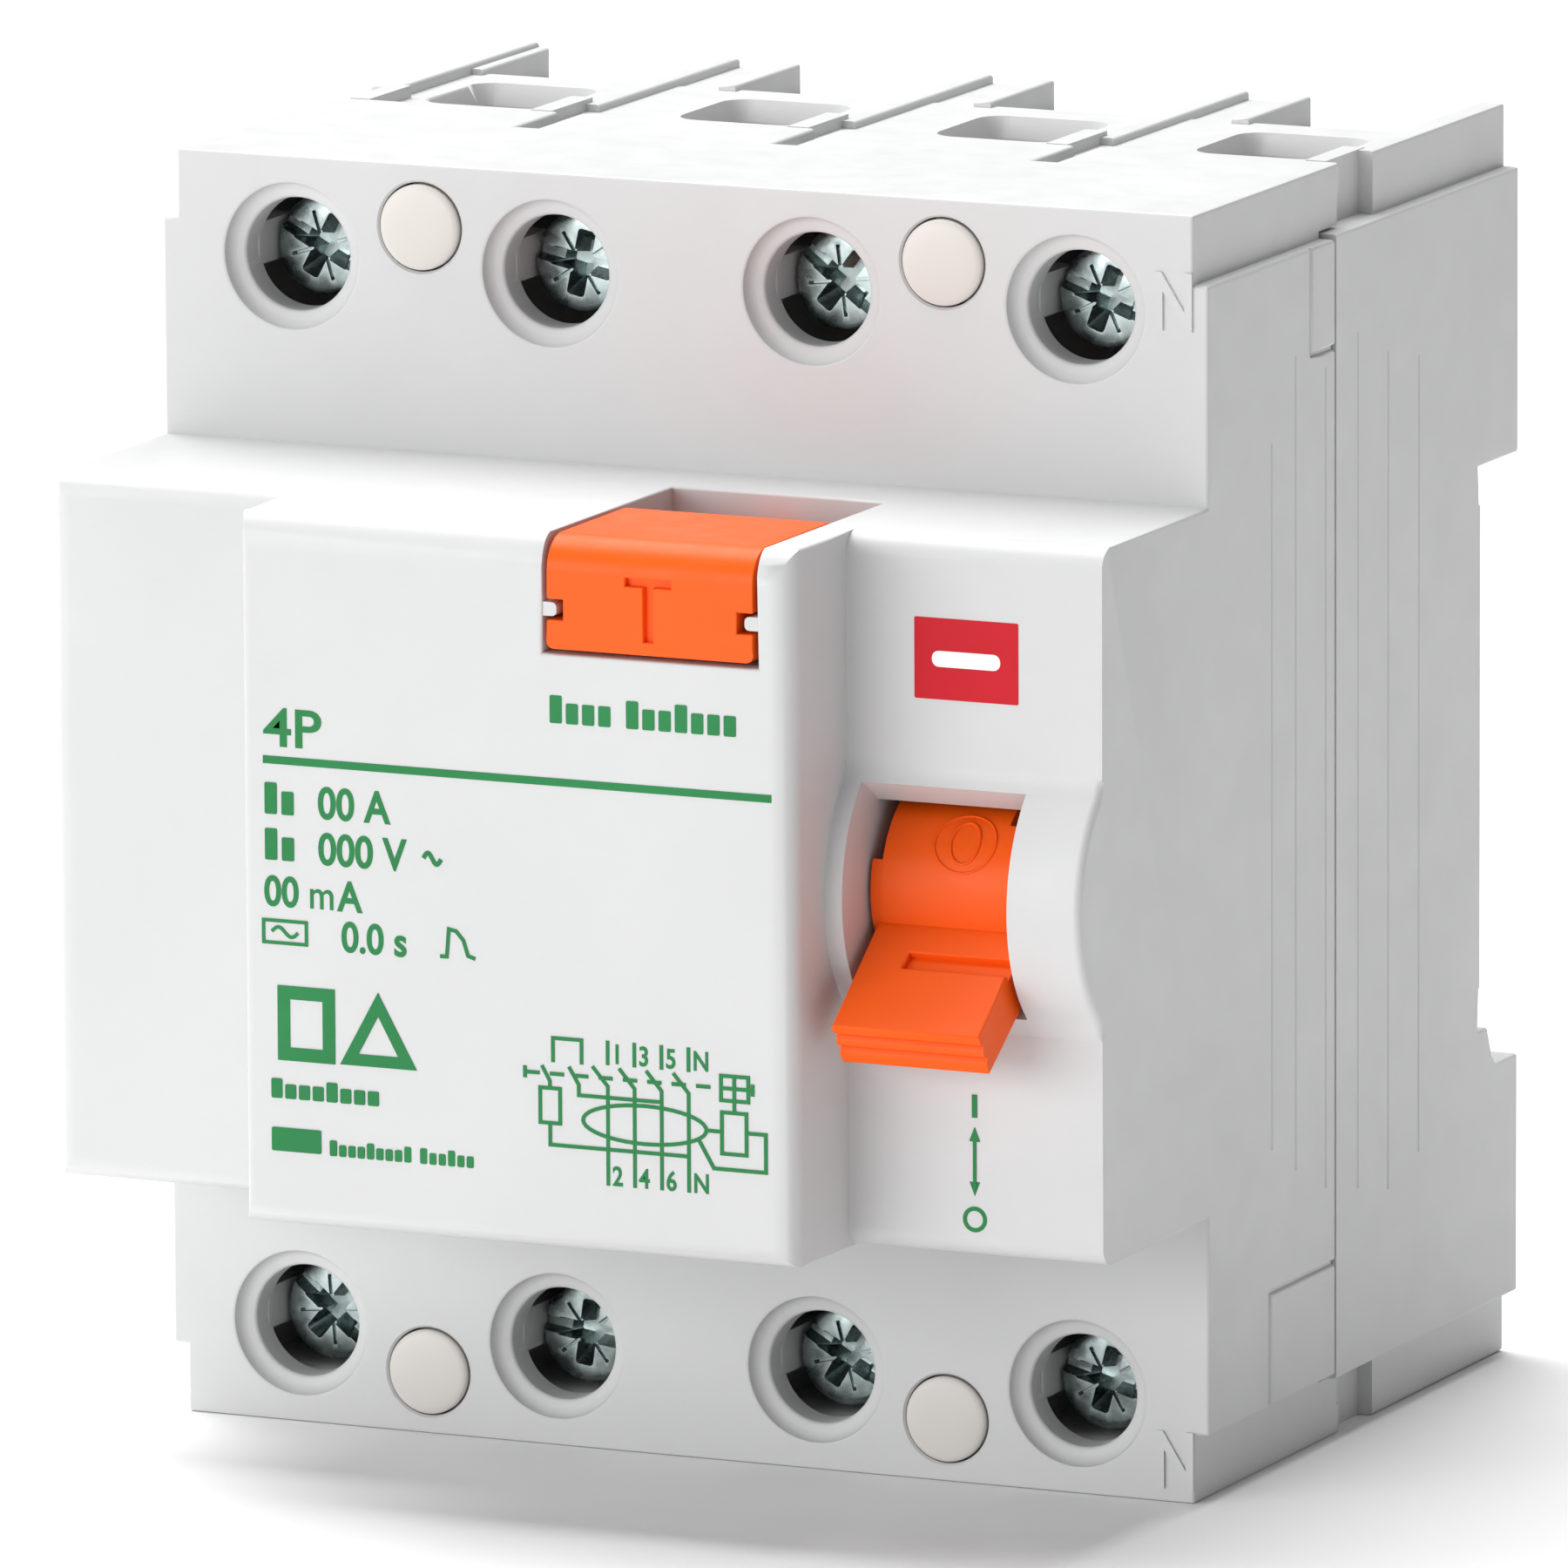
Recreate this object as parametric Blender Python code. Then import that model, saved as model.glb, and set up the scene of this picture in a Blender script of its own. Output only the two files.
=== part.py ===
"""A four-pole residual current device for a 35 mm DIN rail, modelled piece by piece.

Frame: the origin is the centre of the rail seat in the back, X runs across the poles, Y runs back
into the wall and Z runs up. Driving sizes are in millimetres and are turned to metres by MM.
"""

import math

import bmesh
import bpy
from mathutils import Matrix, Vector

MM = 0.001
GAP = 0.3  # clearance between two neighbouring pieces

# Outline of the case
WIDE_X = 36.0  # half width of four 18 mm modules
NARROW_X = 35.0  # half width of the strips at the top and the bottom
INSET_X = 34.0  # half width of the base where the front's lip covers it
HALF_H = 40.8
WIDE_Z = 36.4
BASE_WIDE_Z = 36.7
CAP_Z = 22.5
BACK_Y = 6.2
SEAM_Y = -24.0
LIP_Y = -21.0
RIB_Y = -15.5  # where the ribs between the poles grow thicker
SHOULDER_Y = -44.0
CAP_Y = -60.5
PANEL_Y = -68.7
PANEL_X = (-19.0, 18.8)
WALL = 2.0
CAVITY_Z = 20.5
FLOOR_Z = 38.4  # outer floor of the base, low enough to pass under the lip
BLOCK_Z = 40.0  # top of the raised blocks around the wire entries
BLOCK_BACK_Y = -3.1

# Poles and terminals
POLES = (-27.0, -9.0, 9.0, 27.0)
RIB_X = (-18.0, 0.0, 18.0)  # boundaries between the poles
SIDES = {"upper": 1, "lower": -1}
SCREW_Z = 34.4
POCKET_HALF_X = 6.2
POCKET_Z = (23.9, 38.2)
POCKET_BACK_Y = -5.0
ENTRY_HALF_X = 4.5
ENTRY_Y = (-15.9, -6.6)
SINK_R = 4.7
SINK_DEPTH = 1.0
HOLE_R = 3.6
HEAD_R = 3.25
HEAD_Y = (-39.3, -36.3)
SHANK_R = 2.5
SHANK_END_Y = -17.9
CAGE_HALF_X = 5.5
CAGE_Z = (31.0, 37.8)
CAGE_Y = (-22.5, -5.4)
CAGE_ROOM_Y = (-20.0, -7.0)
TONGUE_Y = (-17.5, -16.0)
TONGUE_HALF_X = 4.0
TONGUE_END_Z = 37.5

# Plugs over the rivets that hold the two halves of the case
PLUG_X = (-18.0, 18.0)
PLUG_Z = 36.8
PLUG_R = 2.8
RIVET_R = 1.0
RIVET_HOLE_R = 1.2
TAIL_R = 1.3
TAIL_SINK_R = 1.5

# Rail slot and latches
SLOT_TOP_Z = 18.2
SLOT_LOW_Z = -18.5
SLOT_FOOT_Z = -21.1
SEAT_HALF_Z = 15.7  # half height of the land that the rail lies on
SEAT_RELIEF = 0.4  # depth of the reliefs above and below the land
HOOK_X = ((-30.0, -10.0), (10.0, 30.0))
LATCH_X = (-8.4, 8.4)
LATCH_HALF_X = 5.7
LATCH_PULL_HALF_X = 3.9

# Toggle
TOGGLE_Y = -54.4
BULGE_R = 9.6
ROTOR_R = 6.0
TOGGLE_OPENING_X = (20.0, 31.1)
TOGGLE_OPENING_Z = 7.2
HUB_R = 2.7
CRANK_R = 5.0
CRANK_ANGLE = math.radians(35)
CRANK_X = (26.5, 28.7)
LINK_X = (29.2, 30.6)

# Test button
WELL_X = (1.9, 16.5)
WELL_Z = 15.1
WELL_Y = -49.4
BUTTON_X = (2.2, 16.2)
BUTTON_Z = (15.4, 22.4)
BUTTON_BACK_Y = -57.2

# Contacts and the bar that carries them
BAR_Y = -24.0
BAR_Z = 16.0
CONTACT_Z = 0.0
CONTACT_R = 1.8

# Current transformer
TOROID = (-14.0, -42.0, -4.0)
WIRE_HOLE_X = (-5.85, -1.95, 1.95, 5.85)

ROUND = 24
SMALL_ROUND = 16


def clear_scene():
    for obj in list(bpy.data.objects):
        bpy.data.objects.remove(obj)


def new_collection(name, parent, hidden=False):
    made = bpy.data.collections.new(name)
    parent.children.link(made)
    made.hide_render = hidden
    return made


clear_scene()
PARTS = new_collection("residual_current_device", bpy.context.scene.collection)
CUTTERS = new_collection("cutters", bpy.context.scene.collection, hidden=True)


def material(name, colour, roughness, metallic=0.0):
    made = bpy.data.materials.new(name)
    made.use_nodes = True
    shader = made.node_tree.nodes["Principled BSDF"]
    shader.inputs["Base Color"].default_value = (*colour, 1.0)
    shader.inputs["Roughness"].default_value = roughness
    shader.inputs["Metallic"].default_value = metallic
    return made


CASE_GREY = material("case_grey", (0.72, 0.72, 0.72), 0.5)
ORANGE = material("signal_orange", (1.0, 0.14, 0.01), 0.45)
PLUG_WHITE = material("plug_white", (0.85, 0.8, 0.76), 0.4)
ZINC = material("zinc_steel", (0.45, 0.5, 0.5), 0.35, 1.0)
COPPER = material("copper", (0.85, 0.45, 0.28), 0.35, 1.0)
STEEL = material("steel", (0.6, 0.6, 0.6), 0.35, 1.0)
BLACK = material("black_plastic", (0.03, 0.03, 0.03), 0.5)
FERRITE = material("core_tape", (0.35, 0.3, 0.25), 0.6)
ENAMEL = material("enamelled_wire", (0.6, 0.22, 0.08), 0.35, 0.6)


def finish(name, mesh, collection, look=None):
    """The object of this mesh, in this collection."""
    obj = bpy.data.objects.new(name, mesh)
    collection.objects.link(obj)
    if look:
        mesh.materials.append(look)
    if collection is not PARTS:
        obj.hide_render = True
        obj.display_type = "WIRE"
    return obj


def mesh_of(name, bm):
    bmesh.ops.recalc_face_normals(bm, faces=bm.faces)
    mesh = bpy.data.meshes.new(name)
    bm.to_mesh(mesh)
    bm.free()
    return mesh


def box(name, x, y, z, collection=CUTTERS, look=None):
    """A box between pairs of limits in mm."""
    bm = bmesh.new()
    size = [(hi - lo) * MM for lo, hi in (x, y, z)]
    middle = [(hi + lo) / 2 * MM for lo, hi in (x, y, z)]
    bmesh.ops.create_cube(bm, size=1.0)
    bmesh.ops.scale(bm, vec=size, verts=bm.verts)
    bmesh.ops.translate(bm, vec=middle, verts=bm.verts)
    return finish(name, mesh_of(name, bm), collection, look)


def span(middle, half):
    """Limits this far to each side of a middle."""
    return middle - half, middle + half


def rod(name, start, end, radius, collection=CUTTERS, look=None, far_radius=None, sides=ROUND):
    """A cylinder or cone in mm between two points."""
    start = Vector(start) * MM
    end = Vector(end) * MM
    turn = (end - start).to_track_quat("Z", "Y").to_matrix().to_4x4()
    bm = bmesh.new()
    bmesh.ops.create_cone(
        bm,
        cap_ends=True,
        segments=sides,
        radius1=radius * MM,
        radius2=(radius if far_radius is None else far_radius) * MM,
        depth=(end - start).length,
        matrix=Matrix.Translation((start + end) / 2) @ turn,
    )
    return finish(name, mesh_of(name, bm), collection, look)


def prism(name, outline, x, collection=CUTTERS, look=None):
    """An outline of (y, z) points in mm, extruded along X between two limits."""
    bm = bmesh.new()
    corners = [bm.verts.new((x[0] * MM, y * MM, z * MM)) for y, z in outline]
    face = bm.faces.new(corners)
    swept = bmesh.ops.extrude_face_region(bm, geom=[face])["geom"]
    moved = [item for item in swept if isinstance(item, bmesh.types.BMVert)]
    bmesh.ops.translate(bm, vec=((x[1] - x[0]) * MM, 0, 0), verts=moved)
    return finish(name, mesh_of(name, bm), collection, look)


def flip(limits, side):
    """Limits in Z, mirrored to the lower side where side is -1."""
    return tuple(sorted(side * limit for limit in limits))


def combine(obj, pieces, operation):
    """Adds to or cuts from obj with all these pieces at once."""
    group = new_collection(f"{obj.name}_{operation.lower()}", CUTTERS)
    for piece in pieces:
        CUTTERS.objects.unlink(piece)
        group.objects.link(piece)
    boolean = obj.modifiers.new(operation.lower(), "BOOLEAN")
    boolean.operand_type = "COLLECTION"
    boolean.operation = operation
    boolean.solver = "EXACT"
    boolean.collection = group
    return obj


def add(obj, pieces):
    return combine(obj, pieces, "UNION")


def cut(obj, pieces):
    return combine(obj, pieces, "DIFFERENCE")


def set_origin(obj, point):
    """Moves the object's origin to a point in mm, and leaves its shape where it is."""
    point = Vector(point) * MM
    obj.data.transform(Matrix.Translation(-point))
    obj.location = point
    return obj


def wire(name, route, radius, look):
    """A round wire in mm through the points of a route."""
    curve = bpy.data.curves.new(name, "CURVE")
    curve.dimensions = "3D"
    curve.bevel_depth = radius * MM
    curve.bevel_resolution = 1
    curve.use_fill_caps = True
    spline = curve.splines.new("POLY")
    spline.points.add(len(route) - 1)
    for point, place in zip(spline.points, route):
        point.co = (*(Vector(place) * MM), 1.0)
    obj = bpy.data.objects.new(name, curve)
    PARTS.objects.link(obj)
    curve.materials.append(look)
    return obj


def each_terminal():
    """(name ending, side, pole centre) of the eight terminals."""
    for word, side in SIDES.items():
        for number, centre in enumerate(POLES, 1):
            yield f"{word}_{number}", side, centre


# ---------------------------------------------------------------- case


def front_housing():
    """The front half of the case: shoulders, cap, raised panel and toggle guard."""
    front = box(
        "front_housing", (-WIDE_X, WIDE_X), (SHOULDER_Y, SEAM_Y), (-WIDE_Z, WIDE_Z), PARTS, CASE_GREY
    )
    solids = [
        box("strips", (-NARROW_X, NARROW_X), (SHOULDER_Y, SEAM_Y - 0.2), (-HALF_H, HALF_H)),
        box("cap", (-WIDE_X, WIDE_X), (CAP_Y, SHOULDER_Y + 3), (-CAP_Z, CAP_Z)),
        box("panel", PANEL_X, (PANEL_Y, CAP_Y + 3), (-CAP_Z, CAP_Z)),
        rod("bulge", (PANEL_X[1], TOGGLE_Y, 0), (WIDE_X, TOGGLE_Y, 0), BULGE_R, sides=48),
    ]
    for side in SIDES.values():
        lip_z = flip((HALF_H - 1.9, HALF_H), side)
        solids.append(box("lip", (-NARROW_X, NARROW_X), (SEAM_Y - 1, LIP_Y), lip_z))
    add(front, solids)
    cut(front, front_cavities() + front_openings())
    return front


def front_cavities():
    """The room behind the cap, which leaves walls around the test well and the toggle."""
    inner = WIDE_X - WALL
    low = -CAVITY_Z
    under_well = WELL_Z - 1.2
    beside_well = WELL_X[0] - 1.2
    past_well = WELL_X[1] + 1.2
    cap_y = (CAP_Y + WALL, WELL_Y + 1.3)
    panel_y = (PANEL_Y + WALL, CAP_Y + WALL + 0.1)
    chamber_z = BULGE_R + 0.1
    return [
        box("back_room", (-inner, inner), (WELL_Y + 1.2, SEAM_Y + 1), (low, CAVITY_Z)),
        box("cap_room_left", (-inner, beside_well), cap_y, (low, CAVITY_Z)),
        box("cap_room_middle", (beside_well - 0.1, past_well), cap_y, (low, under_well)),
        box("cap_room_low", (past_well - 0.1, inner), cap_y, (low, -chamber_z + 0.1)),
        box("cap_room_high", (past_well - 0.1, inner), cap_y, (chamber_z - 0.1, CAVITY_Z)),
        box("toggle_room", TOGGLE_OPENING_X, cap_y, (-chamber_z, chamber_z)),
        box("panel_room_left", (PANEL_X[0] + WALL, beside_well), panel_y, (low, CAVITY_Z)),
        box("panel_room", (beside_well - 0.1, PANEL_X[1] - WALL), panel_y, (low, under_well)),
    ]


def front_openings():
    """Screw holes, plug seats, the test well, the toggle opening and the terminal pockets."""
    top = CAP_Z + 2
    cuts = [
        box("well", WELL_X, (PANEL_Y - 2, WELL_Y), (WELL_Z, top)),
        box("stem_hole", (7.2, 11.2), (WELL_Y - 1, WELL_Y + 2), (16.8, 20.8)),
        box("toggle_opening", TOGGLE_OPENING_X, (-66, CAP_Y + WALL + 0.1), span(0, TOGGLE_OPENING_Z)),
        rod("pin_hole", (17.0, TOGGLE_Y, 0), (33.8, TOGGLE_Y, 0), 1.55, sides=SMALL_ROUND),
    ]
    for side in SIDES.values():
        for centre in POLES:
            z = side * SCREW_Z
            start = (centre, SHOULDER_Y - 1, z)
            pocket_y = (SHOULDER_Y + 3, SEAM_Y + 1)
            cuts += [
                rod("sink", start, (centre, SHOULDER_Y + SINK_DEPTH, z), SINK_R),
                rod("hole", start, (centre, SHOULDER_Y + 4, z), HOLE_R),
                box("pocket", span(centre, POCKET_HALF_X), pocket_y, flip(POCKET_Z, side)),
            ]
        for centre in PLUG_X:
            seat = (centre, SHOULDER_Y - 1, side * PLUG_Z)
            cuts += [
                rod("plug_seat", seat, (centre, SHOULDER_Y + 3.8, seat[2]), PLUG_R + GAP),
                rivet_hole(seat, SEAM_Y + 1),
            ]
        for centre in RIB_X:
            notch_x = (centre - 1.14, centre + 0.45)
            over = HALF_H + 1
            cuts += [
                box("notch", notch_x, (-27.5, LIP_Y + 1), flip((HALF_H - 1.6, over), side)),
                box("notch_end", notch_x, (SEAM_Y + 0.2, LIP_Y + 1), flip((FLOOR_Z, over), side)),
            ]
    return cuts


def rivet_hole(start, end_y):
    """A cutter for the rivet's clearance hole, back from a start point."""
    end = (start[0], end_y, start[2])
    return rod("rivet_hole", start, end, RIVET_HOLE_R, sides=SMALL_ROUND)


def base_housing():
    """The back half of the case, with the wire entries, the ribs and the rail slot."""
    seam = SEAM_Y + GAP
    base = box(
        "base_housing", (-WIDE_X, WIDE_X), (seam, BACK_Y), (-BASE_WIDE_Z, BASE_WIDE_Z), PARTS, CASE_GREY
    )
    solids = [box("floor", (-INSET_X, INSET_X), (seam, BACK_Y - 0.001), (-FLOOR_Z, FLOOR_Z))]
    for side in SIDES.values():
        solids += terminal_blocks(side)
    add(base, solids)
    cuts = [
        box("cavity", (-INSET_X, INSET_X), (seam - 1, -WALL), (-CAVITY_Z, CAVITY_Z)),
        prism("rail_slot", RAIL_SLOT, (-WIDE_X - 1, WIDE_X + 1)),
    ]
    for _, side, centre in each_terminal():
        pocket_y = (seam - 1, POCKET_BACK_Y)
        tongue_y = (seam - 1, TONGUE_Y[1] + 0.5)
        entry_z = flip((POCKET_Z[1] - 1, HALF_H + 1), side)
        tongue_z = flip((CAVITY_Z - 1, POCKET_Z[0] + 1), side)
        cuts += [
            box("pocket", span(centre, POCKET_HALF_X), pocket_y, flip(POCKET_Z, side)),
            box("entry", span(centre, ENTRY_HALF_X), ENTRY_Y, entry_z),
            box("tongue_slot", span(centre, TONGUE_HALF_X + 0.4), tongue_y, tongue_z),
        ]
    for side in SIDES.values():
        for x in PLUG_X:
            z = side * PLUG_Z
            sink = (x, BACK_Y - 2.5, z)
            cuts += [
                rivet_hole((x, seam - 1, z), BACK_Y + 1),
                rod("rivet_sink", sink, (x, BACK_Y + 1, z), TAIL_SINK_R, sides=SMALL_ROUND),
            ]
    latch_z = (-HALF_H - 1, SLOT_LOW_Z + 0.5)
    for x in LATCH_X:
        cuts += [
            box("latch_room", span(x, LATCH_HALF_X + GAP), (1.2, 4.9), latch_z),
            box("latch_slit", span(x, LATCH_PULL_HALF_X + GAP), (4.8, BACK_Y + 1), latch_z),
        ]
    cut(base, cuts)
    hooks = [box("hook", x, (1.5, 3.8), (15.9, SLOT_TOP_Z + 1)) for x in HOOK_X]
    return add(base, hooks)


RAIL_SLOT = (
    (0.0, SEAT_HALF_Z),
    (-SEAT_RELIEF, SEAT_HALF_Z),
    (-SEAT_RELIEF, SLOT_TOP_Z),
    (BACK_Y + 1, SLOT_TOP_Z),
    (BACK_Y + 1, SLOT_FOOT_Z),
    (2.6, SLOT_FOOT_Z),
    (2.0, -20.5),
    (1.2, SLOT_LOW_Z),
    (-SEAT_RELIEF, SLOT_LOW_Z),
    (-SEAT_RELIEF, -SEAT_HALF_Z),
    (0.0, -SEAT_HALF_Z),
)


def terminal_blocks(side):
    """The raised blocks, ribs and walls on the top or the bottom of the base."""
    low = FLOOR_Z - 1
    front_y = (LIP_Y + GAP, RIB_Y + 1)
    rear_y = (RIB_Y, BACK_Y - 0.002)
    shelf_y = (BLOCK_BACK_Y - 1, rear_y[1])
    front_z = flip((low, HALF_H), side)
    wall_z = flip((BASE_WIDE_Z - 2, HALF_H - 0.05), side)
    block_y = (front_y[0], BLOCK_BACK_Y)
    pieces = [box("block", (-INSET_X, INSET_X), block_y, flip((low, BLOCK_Z), side))]
    for hand in (-1, 1):
        pieces += [
            box("side", flip((INSET_X - 1.4, INSET_X), hand), front_y, front_z),
            box("wall", flip((NARROW_X - 1.8, NARROW_X), hand), rear_y, wall_z),
        ]
    for edge in (-WIDE_X, *RIB_X):
        pieces.append(box("back_rib", (edge + 2.4, edge + 3.6), shelf_y, flip((low, 40.4), side)))
    for x in RIB_X:
        pieces += [
            box("rib_front", (x - 3.2, x - 1.7), front_y, front_z),
            box("rib", (x - 2.2, x - 0.8), rear_y, flip((low, 40.5), side)),
            box("shelf", (x - 1.5, x + 3), shelf_y, flip((low, BLOCK_Z - 0.1), side)),
        ]
    return pieces


# ---------------------------------------------------------------- terminals


def terminal_screw(ending, side, centre):
    """A captive M5 clamp screw, whose head sits behind its hole."""
    z = side * SCREW_Z
    front = (centre, HEAD_Y[0], z)
    neck = (centre, HEAD_Y[1] - 0.5, z)
    screw = rod(f"terminal_screw_{ending}", front, (centre, HEAD_Y[1], z), HEAD_R, PARTS, ZINC)
    add(screw, [rod("shank", neck, (centre, SHANK_END_Y, z), SHANK_R, sides=SMALL_ROUND)])
    recess = [
        box("slot", span(centre, 4), (HEAD_Y[0] - 1, HEAD_Y[0] + 1.4), span(z, 0.5)),
        box("cross", span(centre, 0.45), (HEAD_Y[0] - 1, HEAD_Y[0] + 1.8), span(z, 1.9)),
    ]
    cut(screw, recess)
    return set_origin(screw, front)


def terminal_clamp(ending, side, centre):
    """The steel cage that the screw draws forward, with the wire inside it."""
    z = side * SCREW_Z
    name = f"terminal_clamp_{ending}"
    room_z = flip((CAGE_Z[0] - 1, CAGE_Z[1] + 1), side)
    start = (centre, CAGE_Y[0] - 1, z)
    end = (centre, CAGE_ROOM_Y[0] + 0.5, z)
    cage = box(name, span(centre, CAGE_HALF_X), CAGE_Y, flip(CAGE_Z, side), PARTS, ZINC)
    hollows = [
        box("cage_room", span(centre, TONGUE_HALF_X + GAP), CAGE_ROOM_Y, room_z),
        rod("thread", start, end, SHANK_R + GAP, sides=SMALL_ROUND),
    ]
    cut(cage, hollows)
    return set_origin(cage, (centre, CAGE_Y[0], z))


def upper_busbar(number, centre):
    """The copper strip from an upper clamp down to the fixed contact that it carries."""
    z = (CONTACT_Z - 2, TONGUE_END_Z)
    strip = box(f"upper_busbar_{number}", span(centre, TONGUE_HALF_X), TONGUE_Y, z, PARTS, COPPER)
    face = (centre, TONGUE_Y[0] - 0.6, CONTACT_Z)
    root = (centre, TONGUE_Y[0] + 0.5, CONTACT_Z)
    return add(strip, [rod("fixed_contact", face, root, CONTACT_R, sides=SMALL_ROUND)])


def lower_busbar(number, centre):
    """The copper strip from a lower clamp up to the end of its primary conductor."""
    z = (-TONGUE_END_Z, -12.0)
    return box(f"lower_busbar_{number}", span(centre, TONGUE_HALF_X), TONGUE_Y, z, PARTS, COPPER)


def terminals():
    for ending, side, centre in each_terminal():
        terminal_screw(ending, side, centre)
        terminal_clamp(ending, side, centre)
    for number, centre in enumerate(POLES, 1):
        upper_busbar(number, centre)
        lower_busbar(number, centre)


def case_rivet(ending, x, z):
    """A rivet through both halves of the case, with its head under a plug."""
    head = (x, SHOULDER_Y + 2.0, z)
    neck_y = head[1] + 1.4
    tail_y = BACK_Y - 1
    name = f"case_rivet_{ending}"
    rivet = rod(name, head, (x, neck_y, z), PLUG_R, PARTS, STEEL, sides=SMALL_ROUND)
    rest = [
        rod("shank", (x, neck_y - 0.4, z), (x, tail_y, z), RIVET_R, sides=SMALL_ROUND),
        rod("tail", (x, tail_y - 1.2, z), (x, tail_y, z), TAIL_R, sides=SMALL_ROUND),
    ]
    return add(rivet, rest)


def plug_cap(ending, x, z):
    """The plug that closes the hole over a rivet."""
    front = (x, SHOULDER_Y - 0.05, z)
    back = (x, SHOULDER_Y + 2.0 - GAP, z)
    name = f"plug_cap_{ending}"
    plug = rod(name, front, back, PLUG_R - 0.2, PARTS, PLUG_WHITE, far_radius=PLUG_R)
    return set_origin(plug, (x, SHOULDER_Y, z))


def fasteners():
    for word, side in SIDES.items():
        for hand, x in zip(("left", "right"), PLUG_X):
            case_rivet(f"{word}_{hand}", x, side * PLUG_Z)
            plug_cap(f"{word}_{hand}", x, side * PLUG_Z)


# ---------------------------------------------------------------- rail latches


LATCH_NOSE = ((1.6, -19.0), (1.6, -15.9), (2.4, -15.9), (4.6, -18.3), (4.6, -19.0))


def din_latch(hand, x):
    """A slide with a nose that holds the rail's lower edge, and a slot for a screwdriver."""
    wide = span(x, LATCH_HALF_X)
    latch = box(f"din_latch_{hand}", wide, (1.5, 4.6), (-40.5, -18.4), PARTS, BLACK)
    pull = box("pull", span(x, LATCH_PULL_HALF_X), (4.0, 6.0), (-40.5, -35.0))
    add(latch, [prism("nose", LATCH_NOSE, wide), pull])
    cut(latch, [box("driver_slot", span(x, 2.4), (3.1, 7.0), (-39.2, -37.4))])
    return set_origin(latch, (x, 1.5, -18.4))


def din_latches():
    for hand, x in zip(("left", "right"), LATCH_X):
        din_latch(hand, x)


# ---------------------------------------------------------------- operating parts


def lever_outline():
    """Side view of the toggle's lever at rest, 35 degrees below level."""
    return ((-58.7, -0.9), (-67.2, -7.15), (-65.45, -9.8), (-56.57, -3.8), (-54.0, -3.6), (-54.0, 0.0))


def crank_tip(angle=CRANK_ANGLE):
    """Where the link joins the toggle's crank."""
    return TOGGLE_Y + CRANK_R * math.cos(angle), CRANK_R * math.sin(angle)


def link_relief():
    """Side view of the drum's relief, which the link passes through as the toggle turns."""
    reach = ROTOR_R + 2
    corners = [(0.0, HUB_R), (2.0, HUB_R), (2.0, reach)]
    for turn in (90, 115, 138):
        angle = math.radians(turn)
        corners.append((reach * math.cos(angle), reach * math.sin(angle)))
    far = math.radians(138)
    corners.append((HUB_R * math.cos(far), HUB_R * math.sin(far)))
    return [(TOGGLE_Y + y, z) for y, z in corners]


def toggle():
    """The orange handle: a drum with a lever in front and a crank behind."""
    x = (21.0, 30.8)
    ends = [(end, TOGGLE_Y, 0) for end in x]
    handle = rod("toggle_handle", *ends, ROTOR_R, PARTS, ORANGE, sides=32)
    cuts = [box("back_cut", (x[0] - 1, x[1] + 1), (TOGGLE_Y + 1.2, TOGGLE_Y + 8), (-7, 7))]
    cuts.append(prism("link_relief", link_relief(), (LINK_X[0] - GAP, x[1] + 1)))
    cut(handle, cuts)
    tip_y, tip_z = crank_tip()
    along = (math.cos(CRANK_ANGLE), math.sin(CRANK_ANGLE))
    across = (-along[1], along[0])
    crank = [
        (TOGGLE_Y + along[0] * far + across[0] * width, along[1] * far + across[1] * width)
        for far, width in ((0, -2), (6.2, -2), (6.2, 2), (0, 2))
    ]
    add(
        handle,
        [
            prism("lever", lever_outline(), (20.7, 30.6)),
            rod("hub", *ends, HUB_R),
            prism("crank", crank, CRANK_X),
        ],
    )
    cut(
        handle,
        [
            rod("pin_bore", (19, TOGGLE_Y, 0), (33, TOGGLE_Y, 0), 1.55, sides=SMALL_ROUND),
            rod("link_bore", (26, tip_y, tip_z), (29, tip_y, tip_z), 1.1, sides=SMALL_ROUND),
        ],
    )
    set_origin(handle, (25.9, TOGGLE_Y, 0))
    ends = [(end, TOGGLE_Y, 0) for end in (18.3, 33.4)]
    rod("toggle_pivot_pin", *ends, 1.25, PARTS, STEEL, sides=SMALL_ROUND)


def toggle_link():
    """The link from the toggle's crank up to the contact bar's arm."""
    y, z = crank_tip()
    link = box("toggle_link", LINK_X, (y - 0.9, y + 0.9), (z - 1.2, 15.6), PARTS, STEEL)
    pin_ends = ((CRANK_X[0] - 0.5, y, z), (LINK_X[0] + 0.5, y, z))
    add(link, [rod("link_pin", *pin_ends, 0.8, sides=SMALL_ROUND)])
    return set_origin(link, (sum(LINK_X) / 2, y, z))


def contact_bar():
    """The insulating bar with four sprung contact arms, turned by the link."""
    ends = [(x, BAR_Y, BAR_Z) for x in (-33.2, 33.2)]
    bar = rod("contact_bar", *ends, 2.6, PARTS, BLACK, sides=SMALL_ROUND)
    add(bar, [box("arm", CRANK_X, (-50.8, BAR_Y), (14.2, 16.8))])
    set_origin(bar, (0, BAR_Y, BAR_Z))
    for number, x in enumerate(POLES, 1):
        arm_z = (CONTACT_Z - 2.2, BAR_Z - 2.9)
        arm = box(f"moving_contact_{number}", span(x, 2.2), (-24.6, -23.4), arm_z, PARTS, COPPER)
        root = (x, -23.6, CONTACT_Z)
        add(arm, [rod("pad", root, (x, -22.5, CONTACT_Z), CONTACT_R, sides=SMALL_ROUND)])
        set_origin(arm, (x, BAR_Y, BAR_Z))


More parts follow.
